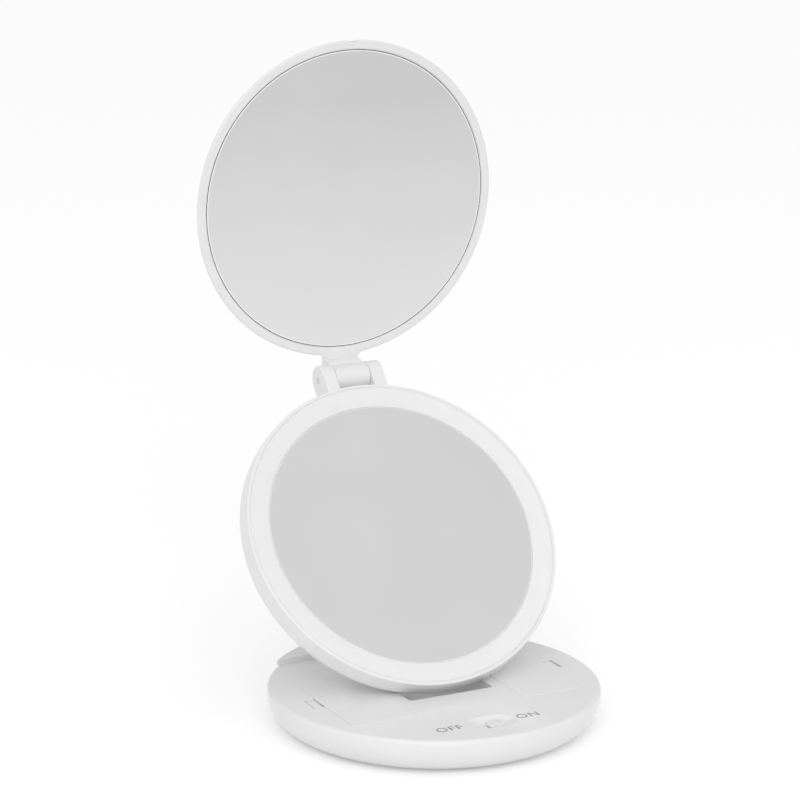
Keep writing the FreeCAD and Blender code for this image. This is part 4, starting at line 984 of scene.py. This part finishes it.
pin_in_head = HEAD_POSE.inverted() @ LID_AXIS
round_r, round_z = HEAD_RADIUS - HEAD_ROUND, HEAD_ROUND - HEAD_BACK
inner_round = HEAD_ROUND - HEAD_WALL - RING_SKIRT
rim_r = HEAD_RADIUS - HEAD_WALL
rings = [(round_r, HEAD_WALL - HEAD_BACK)]
rings += arc(round_r, round_z, inner_round, -90, 0, 10)
rings += [(rim_r - RING_SKIRT, -RING_SEAT), (rim_r, -RING_SEAT)]
rings += arc(rim_r + LIP_SOFT, HEAD_LIP - LIP_SOFT, LIP_SOFT, 180, 90, 3)
rings += arc(HEAD_RADIUS - HEAD_LEAN - HEAD_EDGE, HEAD_LIP - HEAD_EDGE, HEAD_EDGE, 90, 0, 6)
rings += arc(round_r, round_z, HEAD_ROUND, 0, -90, 20)
head = lathe("head_shell", rings)

ear_root = HEAD_RADIUS - EAR_ROOT
cavity_r = rim_r - RING_SKIRT / 2
y, z = pin_in_head.y, pin_in_head.z
for side in (-1, 1):
    left, right = span(side, EAR_INNER, EAR_OUTER)
    ear = rod("ear", EAR_RADIUS, (left, y, z), (right, y, z), FINE_STEPS)
    pick_points(ear, lambda p: p.y < y - NEAR)
    bpy.ops.transform.resize(value=(1, 0, 1), center_override=(0, ear_root, 0))
    soften(ear, EAR_SOFT)
    cut(ear, post("cavity", cavity_r, (0, 0, round_z - inner_round / 2), HEAD_BACK, ROUND_STEPS))
    join(head, ear)
cut(head, rod("pin_hole", LID_PIN, (-SLOT_HALF, y, z), (SLOT_HALF, y, z)))


def screw_places():
    for i in range(SCREW_COUNT):
        turn = 2 * math.pi * (i + 0.5) / SCREW_COUNT
        yield Vector((SCREW_CIRCLE * math.cos(turn), SCREW_CIRCLE * math.sin(turn), -HEAD_BACK))


for place in screw_places():
    cut(head, post("sink", SCREW_HEAD, place - Vector((0, 0, OVER)), OVER + SCREW_SINK))
stand_up(head, HEAD_POSE)
done(head, "head", "head_rear_shell", WHITE_SHELL)

# %% [markdown]
# ## Light ring
# The ring round the mirror is a milky diffuser over the lamps. It is a loop of rings rather than a capped
# piece. Its face dips a little towards the mirror, which is why no step shows there, and a skirt drops into
# the shell at each edge.

# %% Light ring
RING_SEAM = 0.04 * MM
RING_THICK = 1.4 * MM
RING_ROUND = 0.08 * MM
RING_DISH = 1.35 * MM
RING_LIP = 0.25 * MM
GLASS_THICK = 2.0 * MM
GLASS_GAP = 0.02 * MM

ring_outer = rim_r - RING_SEAM
ring_inner = reach("head_mirror") + GLASS_GAP
under = HEAD_LIP - RING_THICK - RING_DISH / 2
rings = [
    (ring_inner, -GLASS_THICK),
    (ring_inner + RING_SKIRT, -GLASS_THICK),
    (ring_inner + RING_SKIRT, under),
    (ring_outer - RING_SKIRT, under),
    (ring_outer - RING_SKIRT, -RING_SEAT),
    (ring_outer, -RING_SEAT),
]
rings += arc(ring_outer - RING_ROUND, HEAD_LIP - RING_ROUND, RING_ROUND, 0, 90, 5)
rings += arc(ring_inner + RING_LIP, HEAD_LIP - RING_DISH - RING_LIP, RING_LIP, 90, 180, 6)
light_ring = lathe("light_diffuser", rings, hollow=True)
stand_up(light_ring, HEAD_POSE)
done(light_ring, "head", "light_ring", MILKY)

# %% [markdown]
# ## Mirrors
# A mirror is glass with silver behind it. At this size the silver face and its ground rim are what the eye
# sees: a pale bevel, whose colour is partly the ground glass and partly painted reflection of the bright
# surroundings, then a thin line painted dark where the silver stops, which is painted shadow of the gap
# between the glass and its frame, and the bare glass outside it. Each is one more ring of the disc with its
# own finish, and the back has plain paint.

# %% Mirrors
BEVEL_DROP = 0.06 * MM
HEAD_RIM = {"bevel": 0.25 * MM, "line": 0.04 * MM, "bare": 0.1 * MM}
LID_RIM = {"bevel": 0.5 * MM, "line": 0.28 * MM, "bare": 0.35 * MM}


def glass(name, node, body, pose, rim):
    """A mirror disc. Outwards from the silver, its rim has a pale bevel with painted reflection, a line of
    painted shadow and bare glass.
    """
    radius = reach(node)
    line_r = radius - rim["bare"]
    bevel_r = line_r - rim["line"]
    flat_r = bevel_r - rim["bevel"]
    rings = [(radius, -GLASS_THICK), (radius, -2 * BEVEL_DROP)]
    rings += [(line_r, -BEVEL_DROP), (bevel_r, -BEVEL_DROP), (flat_r, 0)]
    piece = lathe(name, rings)
    # The bevel band gets painted reflection, and the dark line band gets painted shadow.
    finishes = (SILVERING, BEVEL_REFLECTION_PAINT, RIM_SHADOW_PAINT, GLASS_EDGE, MIRROR_PAINT)
    for material in finishes:
        piece.data.materials.append(material)
    for face in piece.data.polygons:
        out = max(piece.data.vertices[i].co.xy.length for i in face.vertices)
        bands = [r for r in (flat_r, bevel_r, line_r) if out > r + NEAR]
        face.material_index = finishes.index(MIRROR_PAINT) if face.normal.z < 0 else len(bands)
    stand_up(piece, pose)
    return done(piece, body, node)


glass("lit_mirror_glass", "head_mirror", "head", HEAD_POSE, HEAD_RIM)
glass("lid_mirror_glass", "lid_mirror", "lid", LID_POSE, LID_RIM)

# %% [markdown]
# ## Lid
# The lid is a thinner dish with its own mirror. Its edge sweeps in behind the rim, so that from the front
# only the rim is seen. The narrow rim is a loop with a shallow notch at the top for a thumb. At the bottom a
# neck runs out of it, flush with its front, and reaches forward to the barrel between the head's ears.

# %% Lid back
LID_WALL = 1.6 * MM
LID_SWEEP = 10.0 * MM
LID_LEAN = 0.7 * MM
LID_BACK = 4.8 * MM

sweep_z = LID_SWEEP - LID_BACK
sweep_rise = sweep_z + GLASS_THICK
sweep_r = LID_RADIUS - LID_LEAN - math.sqrt(LID_SWEEP**2 - sweep_rise**2)


def sweep(radius):
    end = -math.degrees(math.asin(sweep_rise / radius))
    return arc(sweep_r, sweep_z, radius, -90, end, 12)


lid = lathe("lid_shell", sweep(LID_SWEEP - LID_WALL) + sweep(LID_SWEEP)[::-1])
stand_up(lid, LID_POSE)
done(lid, "lid", "lid_back_shell", WHITE_SHELL)

# %% Lid rim
FRAME_WIDTH = 3.3 * MM
FRAME_LIP = 0.4 * MM
FRAME_EDGE = 0.8 * MM
THUMB_RADIUS = 6.0 * MM
THUMB_DEPTH = 0.8 * MM

inner_r = reach("lid_mirror") + GLASS_GAP
rings = [(inner_r, -GLASS_THICK), (LID_RADIUS - LID_LEAN, -GLASS_THICK)]
rings += arc(LID_RADIUS - FRAME_EDGE, FRAME_LIP - FRAME_EDGE, FRAME_EDGE, 0, 90, 6)
rings += arc(inner_r + EDGE_SOFT, FRAME_LIP - EDGE_SOFT, EDGE_SOFT, 90, 180, 3)
lid_rim = lathe("lid_rim", rings, hollow=True)
thumb = (0, LID_RADIUS + THUMB_RADIUS - THUMB_DEPTH, -GLASS_THICK - OVER)
cut(lid_rim, post("thumb", THUMB_RADIUS, thumb, GLASS_THICK + 2 * OVER, FINE_STEPS))
print("lid rim", len(lid_rim.data.polygons))

# %% Lid neck and barrel
KNUCKLE_HALF = 7.5 * MM
KNUCKLE_RADIUS = 5.4 * MM
NECK_HALF = 4.4 * MM
NECK_SHORT = 3.0 * MM
NECK_CLEAR = 0.8 * MM
NECK_FLARE = 1.6 * MM
LID_PIN_HOLE = 1.55 * MM

pin_in_lid = LID_POSE.inverted() @ LID_AXIS
face_y = -(HEAD_RADIUS + NECK_CLEAR)
foot_y = FRAME_WIDTH / 2 - LID_RADIUS
y, z = pin_in_lid.y, pin_in_lid.z
neck_side = [
    (foot_y, -GLASS_THICK),
    (y + NECK_SHORT, -GLASS_THICK),
    (y - NECK_HALF, z),
    (y + NECK_HALF, z),
    (face_y, z - NECK_HALF),
    (face_y, FRAME_LIP),
    (foot_y, FRAME_LIP),
]
neck = outline("neck", neck_side, -KNUCKLE_HALF, KNUCKLE_HALF)
join(neck, rod("knuckle", KNUCKLE_RADIUS, (-KNUCKLE_HALF, y, z), (KNUCKLE_HALF, y, z), FINE_STEPS))
cut(neck, rod("pin_hole", LID_PIN_HOLE, (-SLOT_HALF, y, z), (SLOT_HALF, y, z)))
join(lid_rim, neck)
flare_x = KNUCKLE_HALF + NECK_FLARE
flare_y = -math.sqrt((LID_RADIUS + NECK_FLARE) ** 2 - flare_x**2)
for side in (-1, 1):
    left, right = span(side, KNUCKLE_HALF - EDGE_SOFT, flare_x)
    flare = block("flare", (left, flare_y, -GLASS_THICK), (right, foot_y, FRAME_LIP))
    foot = (side * flare_x, flare_y, -GLASS_THICK - OVER)
    cut(flare, post("hollow", NECK_FLARE, foot, GLASS_THICK + 2 * OVER))
    join(lid_rim, flare)
stand_up(lid_rim, LID_POSE)
done(lid_rim, "lid", "lid_front_frame", WHITE_SHELL)

# %% [markdown]
# ## Tilt bracket and screws
# Behind the head a pressed steel bracket holds the tilt pin. Its screws, and those that close the head, are
# all alike: a low round head with a cross in it. One of each size is modelled and then copied.

# %% Tilt bracket
BRACKET_THICK = 1.6 * MM
BRACKET_CORNER = 3.0 * MM
BRACKET_SOFT = 0.3 * MM
LUG_INNER = 9.35 * MM
LUG_OUTER = 11.75 * MM
LUG_RADIUS = 4.2 * MM
LUG_FOOT = 6.5 * MM

tilt_in_head = HEAD_POSE.inverted() @ TILT_AXIS
face_z = -HEAD_BACK - BRACKET_THICK
low = (-BRACKET_HALF.x, tilt_in_head.y - BRACKET_HALF.y, face_z)
high = (BRACKET_HALF.x, tilt_in_head.y + BRACKET_HALF.y, -HEAD_BACK)
bracket = tile("tilt_plate", low, high, BRACKET_CORNER)
y, z = tilt_in_head.y, tilt_in_head.z
for side in (-1, 1):
    left, right = span(side, LUG_INNER, LUG_OUTER)
    lug = block("lug", (left, y - LUG_RADIUS, z), (right, y + LUG_RADIUS, face_z + BRACKET_THICK / 2))
    pick_points(lug, lambda p: p.z > z + NEAR)
    bpy.ops.transform.resize(value=(1, LUG_FOOT / LUG_RADIUS, 1), center_override=(0, y, z))
    join(lug, rod("eye", LUG_RADIUS, (left, y, z), (right, y, z)))
    join(bracket, lug)
cut(bracket, rod("pin_hole", TILT_PIN, (-BRACKET_HALF.x, y, z), (BRACKET_HALF.x, y, z), SMALL_STEPS))
soften(bracket, BRACKET_SOFT, lambda p: p.z < face_z + NEAR)
stand_up(bracket, HEAD_POSE)
done(bracket, "head", "tilt_bracket", STEEL_PLATE)

# %% Screws
BRACKET_SCREW = Vector((13.625, 7.2)) * MM
BRACKET_SCREW_HEAD = 1.72 * MM
BRACKET_SCREW_TALL = 1.0 * MM
BRACKET_SHANK = 1.0 * MM
BRACKET_SHANK_LONG = 4.0 * MM
HEAD_SHANK = 1.25 * MM
HEAD_SHANK_LONG = 6.0 * MM
HEAD_DOME = 0.3
CROSS_LONG = 0.55
CROSS_WIDE = 0.12


def screw(name, radius, height, shank_radius, shank):
    """A screw with its domed head below the plane at 0 and its shank above, and a cross cut in the head."""
    dome = height * HEAD_DOME
    rings = [(radius * (1 - HEAD_DOME), -height), (radius * (1 - HEAD_DOME / 3), dome - height)]
    rings += [(radius, 2 * dome - height), (radius, 0), (shank_radius, 0), (shank_radius, shank)]
    piece = lathe(name, rings, steps=SMALL_STEPS)
    slot_half, slot_width = radius * CROSS_LONG, radius * CROSS_WIDE
    for long_x, long_y in ((slot_half, slot_width), (slot_width, slot_half)):
        cut(piece, block("cross", (-long_x, -long_y, -2 * height), (long_x, long_y, -height / 2)))
    return piece


def place_screws(name, model, places, pose, body, node):
    """Copies one screw to its places and joins the copies to one piece, as they are one node."""
    copies = []
    for i, place in enumerate(places):
        twin = copy_of(model, name if i == 0 else f"{name}_{i}")
        twin.matrix_world = pose @ Matrix.Translation(place)
        copies.append(settle(twin))
    clear_selection()
    for twin in copies:
        twin.select_set(True)
    bpy.context.view_layer.objects.active = copies[0]
    bpy.ops.object.join()
    bpy.data.objects.remove(model, do_unlink=True)
    return done(copies[0], body, node, STEEL_SCREW)


sunk = Vector((0, 0, SCREW_SINK))
head_screw = screw("head_screw", SCREW_HEAD - SEAT_GAP, SCREW_SINK, HEAD_SHANK, HEAD_SHANK_LONG)
place_screws("shell_screws", head_screw, [p + sunk for p in screw_places()], HEAD_POSE, "head", "head_screws")
bracket_size = (BRACKET_SCREW_HEAD, BRACKET_SCREW_TALL, BRACKET_SHANK, BRACKET_SHANK_LONG)
bracket_screw = screw("bracket_screw", *bracket_size)
corners = [(sx, sy) for sx in (-1, 1) for sy in (-1, 1)]
places = [Vector((sx * BRACKET_SCREW.x, tilt_in_head.y + sy * BRACKET_SCREW.y, face_z)) for sx, sy in corners]
place_screws("plate_screws", bracket_screw, places, HEAD_POSE, "head", "bracket_screws")

# %% [markdown]
# ## Finishes of the pieces that keep their CAD shape
# Pins, bushes, cells, contacts and boards already have the right shape. They only need a finish, which goes
# into the material slot that each node came with.

# %% Finish the remaining nodes
NODE_FINISHES = {
    "base_bottom_plate": WHITE_SATIN,
    "mirror_carrier": WHITE_SATIN,
    "base_screws": STEEL_SCREW,
    "foot_pad": RUBBER,
    "battery_cells_right": JACKET,
    "battery_cells_left": JACKET,
    "battery_contacts_right": NICKEL,
    "battery_contacts_left": NICKEL,
    "switch_board": BOARD,
    "led_board": BOARD,
    "led_chips": PHOSPHOR,
    "slide_switch_body": SWITCH_BODY,
    "arm_hinge_pin": STEEL_PIN,
    "tilt_pin": STEEL_PIN,
    "tilt_washers": STEEL_PIN,
    "lid_hinge_pin": STEEL_PIN,
    "arm_bushes": NYLON,
    "lid_mirror_pad": FOAM,
}
for node, material in NODE_FINISHES.items():
    for material_slot in frame["nodes"][node].material_slots:
        material_slot.material = material
shown = [name for name, item in frame["nodes"].items() if not item.hide_render]
print("nodes shown", len(shown), "without a finish", sorted(set(shown) - set(NODE_FINISHES)))

# %% [markdown]
# ## Last step
# The selection is cleared at the end.

# %% Clear the selection
clear_selection()
